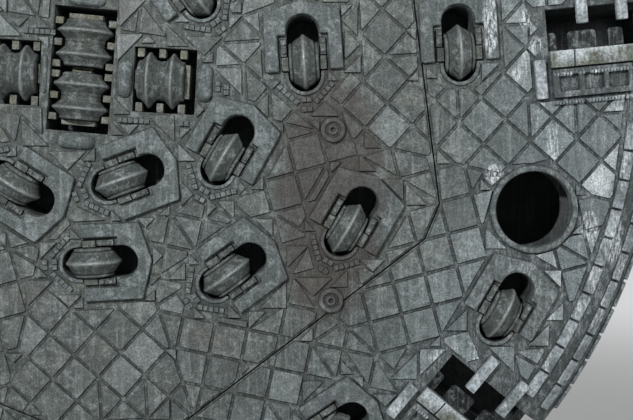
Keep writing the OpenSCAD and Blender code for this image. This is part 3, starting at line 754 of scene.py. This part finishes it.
def set_upright(tree):
    """Rotation that stands an instance on its point: Z along facing, X along heading."""
    rotation = None
    for name, axis in (("facing", "Z"), ("heading", "X")):
        vector = add_node(
            tree, "GeometryNodeInputNamedAttribute", {"Name": name}, data_type="FLOAT_VECTOR"
        ).outputs[0]
        inputs = {"Vector": vector}
        if rotation:
            inputs["Rotation"] = rotation
        settings = {"axis": axis}
        if rotation:
            settings["pivot_axis"] = "Z"
        rotation = add_node(
            tree, "FunctionNodeAlignRotationToVector", inputs, **settings
        ).outputs[0]
    return rotation


def close_tree(tree, result, geometry, material):
    """Ends a tree in real geometry with one finish."""
    real = add_node(tree, "GeometryNodeRealizeInstances", {0: geometry}).outputs[0]
    done = add_node(tree, "GeometryNodeSetMaterial", {0: real, "Material": material}).outputs[0]
    tree.links.new(done, result.inputs[0])


def bolts_tree():
    """Hexagon heads on washers, one on each point."""
    name = "hexagon_bolts"
    if name in bpy.data.node_groups:
        return bpy.data.node_groups[name]
    tree, source, result = node_group(
        name,
        [("Across flats", "NodeSocketFloat"), ("Head height", "NodeSocketFloat"),
         ("Material", "NodeSocketMaterial")],
    )
    made = {}
    for label, output, share in BOLT_SHARES:
        made[label] = add_node(
            tree, MATHS, {0: source.outputs[output], 1: share}, operation="MULTIPLY"
        ).outputs[0]
    head = add_node(
        tree,
        "GeometryNodeMeshCone",
        {"Vertices": 6, "Radius Top": made["top"], "Radius Bottom": made["foot"],
         "Depth": source.outputs["Head height"]},
    ).outputs["Mesh"]
    washer = add_node(
        tree,
        "GeometryNodeMeshCylinder",
        {"Vertices": 20, "Radius": made["washer"], "Depth": made["washer_thick"]},
    ).outputs["Mesh"]
    joined = add_node(tree, "GeometryNodeJoinGeometry")
    for part, lift in ((head, made["head_lift"]), (washer, made["washer_lift"])):
        offset = add_node(tree, "ShaderNodeCombineXYZ", {2: lift}).outputs[0]
        lifted = add_node(tree, "GeometryNodeTransform", {0: part, "Translation": offset})
        tree.links.new(lifted.outputs[0], joined.inputs[0])
    points = add_node(tree, "GeometryNodeMeshToPoints", {0: source.outputs[0]}).outputs[0]
    placed = add_node(
        tree,
        "GeometryNodeInstanceOnPoints",
        {0: points, "Instance": joined.outputs[0], "Rotation": set_upright(tree)},
    ).outputs[0]
    close_tree(tree, result, placed, source.outputs[3])
    return tree


def blocks_tree():
    """Plain blocks, one on each point, along its heading."""
    name = "wear_blocks"
    if name in bpy.data.node_groups:
        return bpy.data.node_groups[name]
    tree, source, result = node_group(
        name, [("Block size", "NodeSocketVector"), ("Material", "NodeSocketMaterial")]
    )
    block = add_node(tree, "GeometryNodeMeshCube", {"Size": source.outputs[1]}).outputs["Mesh"]
    points = add_node(tree, "GeometryNodeMeshToPoints", {0: source.outputs[0]}).outputs[0]
    placed = add_node(
        tree,
        "GeometryNodeInstanceOnPoints",
        {0: points, "Instance": block, "Rotation": set_upright(tree)},
    ).outputs[0]
    close_tree(tree, result, placed, source.outputs[2])
    return tree


def bead_tree():
    """Rippled weld bead along the edges of a wire mesh."""
    name = "weld_bead"
    if name in bpy.data.node_groups:
        return bpy.data.node_groups[name]
    tree, source, result = node_group(
        name,
        [("Radius", "NodeSocketFloat"), ("Ripple", "NodeSocketFloat"),
         ("Material", "NodeSocketMaterial")],
    )
    line = add_node(tree, "GeometryNodeMeshToCurve", {0: source.outputs[0]}).outputs[0]
    fine = add_node(
        tree, "GeometryNodeResampleCurve", {0: line, "Length": source.outputs[2]}, mode="LENGTH"
    ).outputs[0]
    place = add_node(tree, "GeometryNodeInputPosition").outputs[0]
    wander = add_node(
        tree, "ShaderNodeTexNoise", {"Vector": place, "Scale": 30.0, "Detail": 2.0}
    ).outputs[0]
    width = add_node(
        tree, "ShaderNodeMapRange", {0: wander, 1: 0.3, 2: 0.7, 3: 0.7, 4: 1.2}
    ).outputs[0]
    profile = add_node(
        tree, "GeometryNodeCurvePrimitiveCircle", {"Resolution": 6, "Radius": source.outputs[1]}
    ).outputs[0]
    tube = add_node(
        tree, "GeometryNodeCurveToMesh", {0: fine, 1: profile, "Scale": width, "Fill Caps": True}
    ).outputs[0]
    close_tree(tree, result, tube, source.outputs[3])
    return tree


def grown(name, base, tree, values):
    """Runs a geometry tree on a mesh, and keeps the result as a plain piece of the head."""
    carrier = link(name + "_points", base)
    modifier = carrier.modifiers.new("build", "NODES")
    modifier.node_group = tree
    for item in tree.interface.items_tree:
        if item.in_out == "INPUT" and item.name in values:
            modifier[item.identifier] = values[item.name]
    bpy.context.view_layer.update()
    graph = bpy.context.evaluated_depsgraph_get()
    mesh = bpy.data.meshes.new_from_object(
        carrier.evaluated_get(graph), preserve_all_data_layers=True, depsgraph=graph
    )
    carrier.modifiers.remove(modifier)
    bpy.data.objects.remove(carrier)
    mesh.name = name
    piece = link(name, mesh)
    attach(piece, HEAD)
    return piece


def points_mesh(name, rows):
    """Loose points with the way each one faces and heads; rows hold (place, facing, heading)."""
    mesh = bpy.data.meshes.new(name)
    mesh.from_pydata([row[0] for row in rows], [], [])
    for index, label in ((1, "facing"), (2, "heading")):
        layer = mesh.attributes.new(label, "FLOAT_VECTOR", "POINT")
        layer.data.foreach_set("vector", [c for row in rows for c in row[index]])
    return mesh


def wires_mesh(name, lines):
    """Wire mesh of closed lines, each a list of points."""
    verts, edges = [], []
    for points in lines:
        start = len(verts)
        verts += points
        edges += [(start + i, start + i + 1) for i in range(len(points) - 1)]
        edges.append((len(verts) - 1, start))
    mesh = bpy.data.meshes.new(name)
    mesh.from_pydata(verts, edges, [])
    return mesh


def facing(place, target):
    """Turn of a lamp or camera at a place, that looks at a target."""
    return (target - place).to_track_quat("-Z", "Y").to_euler()


def seen_rays(tree):
    """1 for the rays that the camera, metal or glass sees, and 0 for those that light a piece."""
    path = add_node(tree, "ShaderNodeLightPath").outputs
    seen = path["Is Camera Ray"]
    for other in ("Is Glossy Ray", "Is Transmission Ray"):
        seen = add_node(
            tree, "ShaderNodeMath", {0: seen, 1: path[other]}, operation="MAXIMUM"
        ).outputs[0]
    return seen


class CUTTERHEAD_OT_stage(bpy.types.Operator):
    """Floor, lamps, world and the camera of the photograph"""

    bl_idname = "cutterhead.stage"
    bl_label = "Stage"

    def execute(self, context):
        scene = context.scene
        scene.view_settings.view_transform = "Standard"
        low = CAD_BOX[0].z - FLOOR_DROP
        mesh = bpy.data.meshes.new("studio_floor")
        half = FLOOR_HALF
        mesh.from_pydata(
            [(-half, -half, low), (half, -half, low), (half, half, low), (-half, half, low)],
            [],
            [(0, 1, 2, 3)],
        )
        floor = link("studio_floor", mesh)
        paint = bpy.data.materials.new("matt_floor_paint")
        paint.use_nodes = True
        tree = paint.node_tree
        tree.nodes.clear()
        near = add_node(
            tree, "ShaderNodeBsdfPrincipled", {"Base Color": colours().floor, "Roughness": 0.85}
        )
        place = add_node(tree, "ShaderNodeTexCoord").outputs["Object"]
        reach = add_node(
            tree, "ShaderNodeVectorMath", {0: place}, operation="LENGTH"
        ).outputs["Value"]
        far = add_node(
            tree,
            "ShaderNodeMapRange",
            {0: reach, 1: FADE[0], 2: FADE[1]},
            interpolation_type="SMOOTHSTEP",
        ).outputs[0]
        far = add_node(
            tree, "ShaderNodeMath", {0: far, 1: seen_rays(tree)}, operation="MULTIPLY"
        ).outputs[0]
        glow = add_node(tree, "ShaderNodeEmission", {"Color": colours().backdrop})
        mixed = add_node(
            tree, "ShaderNodeMixShader", {0: far, 1: near.outputs[0], 2: glow.outputs[0]}
        )
        add_node(tree, "ShaderNodeOutputMaterial", {0: mixed.outputs[0]})
        mesh.materials.append(paint)

        world = bpy.data.worlds.new("studio")
        scene.world = world
        world.use_nodes = True
        tree = world.node_tree
        tree.nodes.clear()
        light = add_node(tree, "ShaderNodeBackground", {0: hex_colour("#f4f6f8"), 1: 0.2})
        pale = add_node(tree, "ShaderNodeBackground", {0: colours().backdrop, 1: 1.0})
        mixed = add_node(
            tree,
            "ShaderNodeMixShader",
            {0: seen_rays(tree), 1: light.outputs[0], 2: pale.outputs[0]},
        )
        add_node(tree, "ShaderNodeOutputWorld", {0: mixed.outputs[0]})

        for name, (x, before, z), aim, power, size in LAMPS:
            data = bpy.data.lights.new(name, "AREA")
            data.energy = power
            data.size = size
            lamp = bpy.data.objects.new(name, data)
            scene.collection.objects.link(lamp)
            lamp.location = (x, FACE_Y - before, z)
            lamp.rotation_euler = facing(lamp.location, Vector((aim[0], FACE_Y - aim[1], aim[2])))

        data = bpy.data.cameras.new("photo_camera")
        data.sensor_width = 36.0
        data.lens = sizes().camera_lens
        data.clip_end = 200.0
        camera = bpy.data.objects.new("photo_camera", data)
        scene.collection.objects.link(camera)
        camera.location = (CAMERA_X, FACE_Y - sizes().camera_distance, CAMERA_Z)
        camera.rotation_euler = facing(camera.location, Vector((AIM_X, FACE_Y, AIM_Z)))
        scene.camera = camera
        return {"FINISHED"}


class CUTTERHEAD_OT_plates(bpy.types.Operator):
    """Face plates, rim, guards, blocks and framework with their finishes and worn edges"""

    bl_idname = "cutterhead.plates"
    bl_label = "Plates and framework"

    def execute(self, context):
        s = sizes()
        face, wear, frame_slot = "face_steel", "wear_steel", "structure_steel"
        for node, name, material, width, segments, slot in (
            ("centre_face", "centre_section_plate", "rolled_plate_dusty", s.face_edge, 2, face),
            ("ring_face", "ring_section_plate", "rolled_plate_dusty", s.face_edge, 2, face),
            ("gauge_rim", "rounded_rim", "rolled_plate_dusty", s.face_edge, 2, face),
            ("cutter_guards", "cast_guards", "cast_steel_guard", s.guard_edge, 3, wear),
            ("bucket_lips", "bucket_scrapers", "hardfaced_block_pasted", s.block_edge, 2, wear),
            ("grizzly_bars", "grizzly_bars_worn", "hardfaced_block_pasted", s.block_edge, 2, wear),
            ("manhole_ring", "manhole_rim", "cast_steel_guard", s.ring_edge, 4, wear),
            ("cutter_saddles", "shaft_locks", "machined_lock_steel", s.face_edge, 1, wear),
            ("rear_drum", "drum_and_flange", "primed_framework_steel", s.face_edge, 2, frame_slot),
        ):
            dressed(node, name, material, width, segments)
        self.thin_bars()
        self.turn_nozzles()
        self.line_cover()
        self.paint_clamps()
        self.paint_holders()
        self.bucket_tabs()
        for node in ("bulkhead", "chute_walls", "cutter_boxes"):
            mesh = frame["nodes"][node].data
            mesh.materials.clear()
            mesh.materials.append(finish("primed_framework_steel"))
        return {"FINISHED"}

    def thin_bars(self):
        """Gives the thin wear bars sharper edges than the guards."""
        piece = bpy.data.objects["cast_guards"]
        piece.modifiers["rounded_edges"].limit_method = "WEIGHT"
        bm = bmesh.new()
        bm.from_mesh(piece.data)
        weight = bm.edges.layers.float.new("bevel_weight_edge")
        for island in islands(bm):
            verts = {v for face in island for v in face.verts}
            heights = [v.co.y for v in verts]
            thin = max(heights) - min(heights) < THIN
            for edge in {e for face in island for e in face.edges}:
                if edge.calc_face_angle(0.0) > SHARP:
                    edge[weight] = sizes().bar_share if thin else 1.0
        bm.to_mesh(piece.data)
        bm.free()

    def turn_nozzles(self):
        """Spray nozzles turned from their outline."""
        seats = [(Vector((x, FACE_Y, z)), OUT, RIGHT, UP) for x, z in NOZZLES]
        piece = link("nozzle_guards", turned_mesh("nozzle_guards", NOZZLE, seats))
        piece.data.materials.append(finish("cast_steel_guard"))
        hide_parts("spray_nozzles")
        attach(piece, HEAD)

    def line_cover(self):
        """Round cover before the hole for the water line, at the foot of the centre pocket."""
        hole = frame_mount("rotary_joint_hole")
        front = Vector((0, hole["pos_m"][1] - hole["dims"]["length_mm"] / 2000, 0))
        edge = hole["dims"]["r_mm"] + COVER_LAP
        outline = [(u, r, 0, 0.0) for u, r in ((0, 1), (0, edge), (COVER_T, edge), (COVER_T, 1))]
        seat = (front, OUT, RIGHT, UP)
        piece = link("line_hole_cover", turned_mesh("line_hole_cover", outline, [seat]))
        piece.data.materials.append(finish("cut_plate_muddy"))
        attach(piece, HEAD)

    def paint_clamps(self):
        """Gives the blocks at the twin cutters their clay."""
        mesh = bpy.data.objects["shaft_locks"].data
        mesh.materials.append(finish("machined_clamp_clayed"))
        twins = [middle for name, middle, *_ in places() if is_twin(name)]
        for polygon in mesh.polygons:
            if min((polygon.center - middle).length for middle in twins) < CLAMP_REACH:
                polygon.material_index = 1

    def paint_holders(self):
        """Gives the holders the plate's finish, and the scrapers a white lip and an olive foot."""
        mesh = bpy.data.objects["bucket_scrapers"].data
        mesh.materials.append(finish("rolled_plate_dusty"))
        mesh.materials.append(finish("hardfaced_scraper_pasted"))
        tone = mesh.attributes.new("tone", "FLOAT", "POINT")

        for vertex in mesh.vertices:
            rise = bucket_place(vertex.co)[1] - SCRAPER_FOOT
            tone.data[vertex.index].value = rise / SCRAPER_WIDTH
        for polygon in mesh.polygons:
            along = bucket_place(polygon.center)[1]
            if HOLDER_END < along < HOLDER_TOP:
                polygon.material_index = 1
            elif along < SCRAPER_TOP:
                polygon.material_index = 2

    def bucket_tabs(self):
        """Dark tabs with rounded corners behind the scrapers."""
        s = sizes()
        bm = bmesh.new()
        (foot, top), r = TAB_RANGE, s.tab_round
        for k in range(s.buckets):
            direction = s.bucket_turn + k * 360 / s.buckets
            for low, high in TABS:
                outline = [(low, foot), (high, foot)]
                for centre, start in ((high - r, 0), (low + r, 90)):
                    for step in range(TAB_STEPS + 1):
                        a = math.radians(start + 90 / TAB_STEPS * step)
                        outline.append((centre + r * math.cos(a), top - r + r * math.sin(a)))
                front = [
                    bm.verts.new(turned(direction, u, v) + Vector((0, FACE_Y + TAB_DEPTH, 0)))
                    for u, v in outline
                ]
                back = [bm.verts.new(v.co + Vector((0, TAB_T, 0))) for v in front]
                bm.faces.new(front)
                bm.faces.new(back[::-1])
                for i in range(len(front)):
                    j = (i + 1) % len(front)
                    bm.faces.new((front[i], back[i], back[j], front[j]))
        bmesh.ops.recalc_face_normals(bm, faces=bm.faces)
        mesh = bpy.data.meshes.new("bucket_tabs")
        bm.to_mesh(mesh)
        bm.free()
        mesh.materials.append(finish("cut_plate_muddy"))
        piece = link("bucket_tabs", mesh)
        round_edges(piece, s.face_edge, 2)
        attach(piece, HEAD)


class CUTTERHEAD_OT_wear_plates(bpy.types.Operator):
    """Mosaic of wear plates, each a little uneven and with a tone of its own"""

    bl_idname = "cutterhead.wear_plates"
    bl_label = "Wear plates"

    def execute(self, context):
        piece = dressed(
            "wear_plates", "wear_plate_mosaic", "hardened_wear_plate", sizes().tile_edge, 2,
        )
        self.unsettle(piece.data)
        piece = link("small_wear_plates", self.small_plates())
        piece.data.materials.append(finish("hardened_wear_plate"))
        round_edges(piece, sizes().tile_edge, 2)
        self.unsettle(piece.data)
        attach(piece, HEAD)
        return {"FINISHED"}

    def unsettle(self, mesh):
        """Leans each plate a little and gives it a tone of its own."""
        bm = bmesh.new()
        bm.from_mesh(mesh)
        tone = bm.faces.layers.float.new("tone")
        chance = random.Random(7)
        lift = sizes().tile_lift
        for island in islands(bm):
            value = chance.random()
            raised = chance.uniform(-lift, lift)
            lean = Vector((chance.uniform(-1, 1), 0, chance.uniform(-1, 1))) * PLATE_LEAN
            verts = {v for face in island for v in face.verts}
            middle = sum((v.co for v in verts), Vector()) / len(verts)
            for v in verts:
                if v.co.y < FACE_Y - PLATE_FOOT:
                    v.co.y -= raised + lean.dot(v.co - middle)
            for face in island:
                face[tone] = value
        bm.to_mesh(mesh)
        bm.free()

    def bare_spots(self):
        """Grid of the face, true where nothing stands on it and no opening goes through it."""
        bm = bmesh.new()
        turning = {joint["child"] for joint in frame["joints"]}
        for node, piece in frame["nodes"].items():
            if node not in turning:
                bm.from_mesh(piece.data)
        tree = BVHTree.FromBMesh(bm)
        bm.free()
        count = 2 * GRID_HALF + 1
        free = numpy.zeros((count, count), bool)
        for i in range(count):
            x = (i - GRID_HALF) * GRID
            for k in range(count):
                z = (k - GRID_HALF) * GRID
                if math.hypot(x, z) < GRID_HALF * GRID and not self.at_bucket(x, z):
                    hit = tree.ray_cast(Vector((x, FACE_Y - 1.0, z)), -OUT)[0]
                    free[i, k] = hit is not None and abs(hit.y - FACE_Y) < FLAT
        return free

    def at_bucket(self, x, z):
        """True inside a bucket's fittings."""
        if math.hypot(x, z) < BUCKET_CLEAR:
            return False
        outward, along = bucket_place((x, 0, z))
        return outward > BUCKET_FOOT and HOLDER_END < along < BUCKET_TOP

    def small_plates(self):
        """Triangular plates, the largest first, on the spots that the mosaic leaves bare."""
        free = self.bare_spots()
        bm = bmesh.new()
        for leg in SMALL_LEGS:
            for turn in range(8):
                outline = self.triangle(leg, math.radians(45 * turn))
                cells = self.covered(outline)
                low, high = cells.min(0), cells.max(0)
                span = numpy.array(free.shape) - high + low
                fits = numpy.ones(span, bool)
                for i, k in cells - low:
                    fits &= free[i : i + span[0], k : k + span[1]]
                for spot in numpy.argwhere(fits[::2, ::2]) * 2 - low:
                    at = cells + spot
                    if not free[at[:, 0], at[:, 1]].all():
                        continue
                    free[at[:, 0], at[:, 1]] = False
                    self.add_plate(bm, outline, (spot - GRID_HALF) * GRID)
        bmesh.ops.recalc_face_normals(bm, faces=bm.faces)
        mesh = bpy.data.meshes.new("small_wear_plates")
        bm.to_mesh(mesh)
        bm.free()
        return mesh

    def triangle(self, leg, turn):
        """Corners of a right-angled triangle about its middle."""
        corners = ((-leg / 3, -leg / 3), (2 * leg / 3, -leg / 3), (-leg / 3, 2 * leg / 3))
        c, s = math.cos(turn), math.sin(turn)
        return [(x * c - z * s, x * s + z * c) for x, z in corners]

    def covered(self, outline):
        """Grid cells within a gap's width of an outline."""
        reach = int(SMALL_LEGS[0] / GRID) + 3
        i, k = numpy.mgrid[-reach : reach + 1, -reach : reach + 1]
        inside = numpy.ones(i.shape, bool)
        for (x0, z0), (x1, z1) in zip(outline, outline[1:] + outline[:1]):
            long = math.hypot(x1 - x0, z1 - z0)
            out = ((z1 - z0) * (i * GRID - x0) - (x1 - x0) * (k * GRID - z0)) / long
            inside &= out < sizes().tile_gap
        return numpy.argwhere(inside) - reach

    def add_plate(self, bm, outline, middle):
        """A prism on the face."""
        rows = [
            [bm.verts.new((middle[0] + x, y, middle[1] + z)) for x, z in outline]
            for y in (FACE_Y + PLATE_SEAT, FACE_Y - sizes().tile_thick)
        ]
        bm.faces.new(rows[0])
        bm.faces.new(rows[1][::-1])
        for j in range(3):
            m = (j + 1) % 3
            bm.faces.new((rows[0][j], rows[1][j], rows[1][m], rows[0][m]))


class CUTTERHEAD_OT_cutters(bpy.types.Operator):
    """Disc cutters turned from their outlines, each on its own shaft"""

    bl_idname = "cutterhead.cutters"
    bl_label = "Disc cutters"

    def execute(self, context):
        for name, middle, shaft, travel, normal in places():
            outline = both_halves(HALF_TWIN if is_twin(name) else HALF_SINGLE)
            mesh = turned_mesh("turned_" + name, outline, [(middle, shaft, travel, normal)])
            mesh.materials.append(finish("tool_steel_disc_ring"))
            mesh.materials.append(finish("forged_hub_dusty"))
            piece = link("turned_" + name, mesh)
            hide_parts(name)
            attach(piece, name)
        return {"FINISHED"}


class CUTTERHEAD_OT_bolts(bpy.types.Operator):
    """Bolts of the scraper holders, the shaft locks and the rear flange"""

    bl_idname = "cutterhead.bolts"
    bl_label = "Bolts"

    def execute(self, context):
        s = sizes()
        rows = []
        for k in range(s.buckets):
            direction = s.bucket_turn + k * 360 / s.buckets
            heading = turned(direction, 1.0)
            for along, groups in HOLDER_ROWS:
                for r, end in groups:
                    while r <= end:
                        place = turned(direction, r, along) + Vector((0, FACE_Y - HOLDER_RISE, 0))
                        rows.append((place, OUT, heading))
                        r += s.holder_pitch
        grown(
            "holder_bolts",
            points_mesh("holder_bolts", rows),
            bolts_tree(),
            {"Across flats": s.holder_bolt, "Head height": s.holder_bolt * 0.5,
             "Material": finish("hardfaced_block_pasted")},
        )
        rows = []
        for name, middle, shaft, travel, normal in places():
            if is_twin(name):
                continue
            for side in (-LOCK_SIDE, LOCK_SIDE):
                for along in LOCK_ALONG:
                    place = middle + shaft * side + travel * along + normal * LOCK_RISE
                    rows.append((place, normal, shaft))
        grown(
            "lock_bolts",
            points_mesh("lock_bolts", rows),
            bolts_tree(),
            {"Across flats": s.lock_bolt, "Head height": s.lock_bolt * 0.6,
             "Material": finish("bolt_steel_dusty")},
        )
        circle = frame_mount("flange_bolts")["dims"]
        rows = []
        for k in range(circle["count"]):
            direction = k * 360 / circle["count"]
            place = turned(direction, circle["pcd_mm"] / 2000) + OUT * FLANGE_T
            rows.append((place, OUT, turned(direction + FLANGE_BOLT_TURN, 1.0)))
        grown(
            "flange_bolts_fitted",
            points_mesh("flange_bolts_fitted", rows),
            bolts_tree(),
            {"Across flats": s.flange_bolt, "Head height": s.flange_bolt * 0.42,
             "Material": finish("bolt_steel_dusty")},
        )
        return {"FINISHED"}


def frame_mount(name):
    """A mount of the record by name."""
    return next(m for m in frame["record"]["mounts"] if m["name"] == name)


class CUTTERHEAD_OT_rim_blocks(bpy.types.Operator):
    """Wear blocks in rings over the gauge curve and the rim"""

    bl_idname = "cutterhead.rim_blocks"
    bl_label = "Rim blocks"

    def execute(self, context):
        s = sizes()
        depth = -FACE_Y - CURVE_R
        gauge = [row for row in places() if math.hypot(row[1].x, row[1].z) > GAUGE_FROM]
        rows = []
        for fall, count in BLOCK_ROWS:
            tilt = math.radians(fall)
            radius = CURVE_START + CURVE_R * math.sin(tilt)
            y = -(depth + CURVE_R * math.cos(tilt))
            for k in range(count):
                direction = (k + 0.5 * (fall > FIRST_ROW)) * 360 / count
                centre = turned(direction, radius)
                if self.blocked(centre, fall, gauge):
                    continue
                normal = turned(direction, math.sin(tilt)) + OUT * math.cos(tilt)
                rise = s.block_height / 2 - BLOCK_SEAT
                place = centre + Vector((0, y, 0)) + normal * rise
                rows.append((place, normal, turned(direction, 0.0, 1.0)))
        piece = grown(
            "rim_wear_blocks",
            points_mesh("rim_wear_blocks", rows),
            blocks_tree(),
            {"Block size": (s.block_length, s.block_width, s.block_height),
             "Material": finish("hardfaced_block_pasted")},
        )
        round_edges(piece, s.block_edge, 1)
        return {"FINISHED"}

    def blocked(self, centre, fall, gauge):
        """True over a bucket's fittings or a gauge cutter's seat."""
        low = CLEAR_OF_HOLDER if fall < FIRST_ROW else CLEAR_OF_SCRAPER
        if low < bucket_place(centre)[1] < CLEAR_OF_BUCKET:
            return True
        for _, middle, _, travel, _ in gauge:
            away = centre - Vector((middle.x, 0, middle.z))
            near, far = CLEAR_OF_CUTTER
            if near < away.dot(travel) < far and away.length < CUTTER_NEAR:
                return True
        return False


class CUTTERHEAD_OT_weld_beads(bpy.types.Operator):
    """Weld beads where the framework's plates meet"""

    bl_idname = "cutterhead.weld_beads"
    bl_label = "Weld beads"

    def execute(self, context):
        s = sizes()
        lines = [
            [turned(i * 360 / BEAD_POINTS, radius) - OUT * y for i in range(BEAD_POINTS)]
            for radius, y in BEADS
        ]
        piece = grown(
            "framework_weld_beads",
            wires_mesh("framework_weld_beads", lines),
            bead_tree(),
            {"Radius": s.bead, "Ripple": BEAD_STEP, "Material": finish("primed_framework_steel")},
        )
        for polygon in piece.data.polygons:
            polygon.use_smooth = True
        return {"FINISHED"}


class CUTTERHEAD_PT_panel(bpy.types.Panel):
    """Lists the steps that dress the cutterhead"""

    bl_idname = "CUTTERHEAD_PT_panel"
    bl_label = "Cutterhead"
    bl_space_type = "VIEW_3D"
    bl_region_type = "UI"
    bl_category = "Cutterhead"

    def draw(self, context):
        for step in STEPS:
            self.layout.operator(step.bl_idname)


STEPS = (
    CUTTERHEAD_OT_stage,
    CUTTERHEAD_OT_plates,
    CUTTERHEAD_OT_wear_plates,
    CUTTERHEAD_OT_cutters,
    CUTTERHEAD_OT_bolts,
    CUTTERHEAD_OT_rim_blocks,
    CUTTERHEAD_OT_weld_beads,
)
CLASSES = (CutterheadSizes, CutterheadColours, *STEPS, CUTTERHEAD_PT_panel)


def register():
    for cls in CLASSES:
        bpy.utils.register_class(cls)
    bpy.types.Scene.cutterhead_sizes = bpy.props.PointerProperty(type=CutterheadSizes)
    bpy.types.Scene.cutterhead_colours = bpy.props.PointerProperty(type=CutterheadColours)


def unregister():
    del bpy.types.Scene.cutterhead_colours
    del bpy.types.Scene.cutterhead_sizes
    for cls in reversed(CLASSES):
        bpy.utils.unregister_class(cls)


def main():
    register()
    for step in STEPS:
        group, name = step.bl_idname.split(".")
        getattr(getattr(bpy.ops, group), name)()


if __name__ == "__main__":
    main()
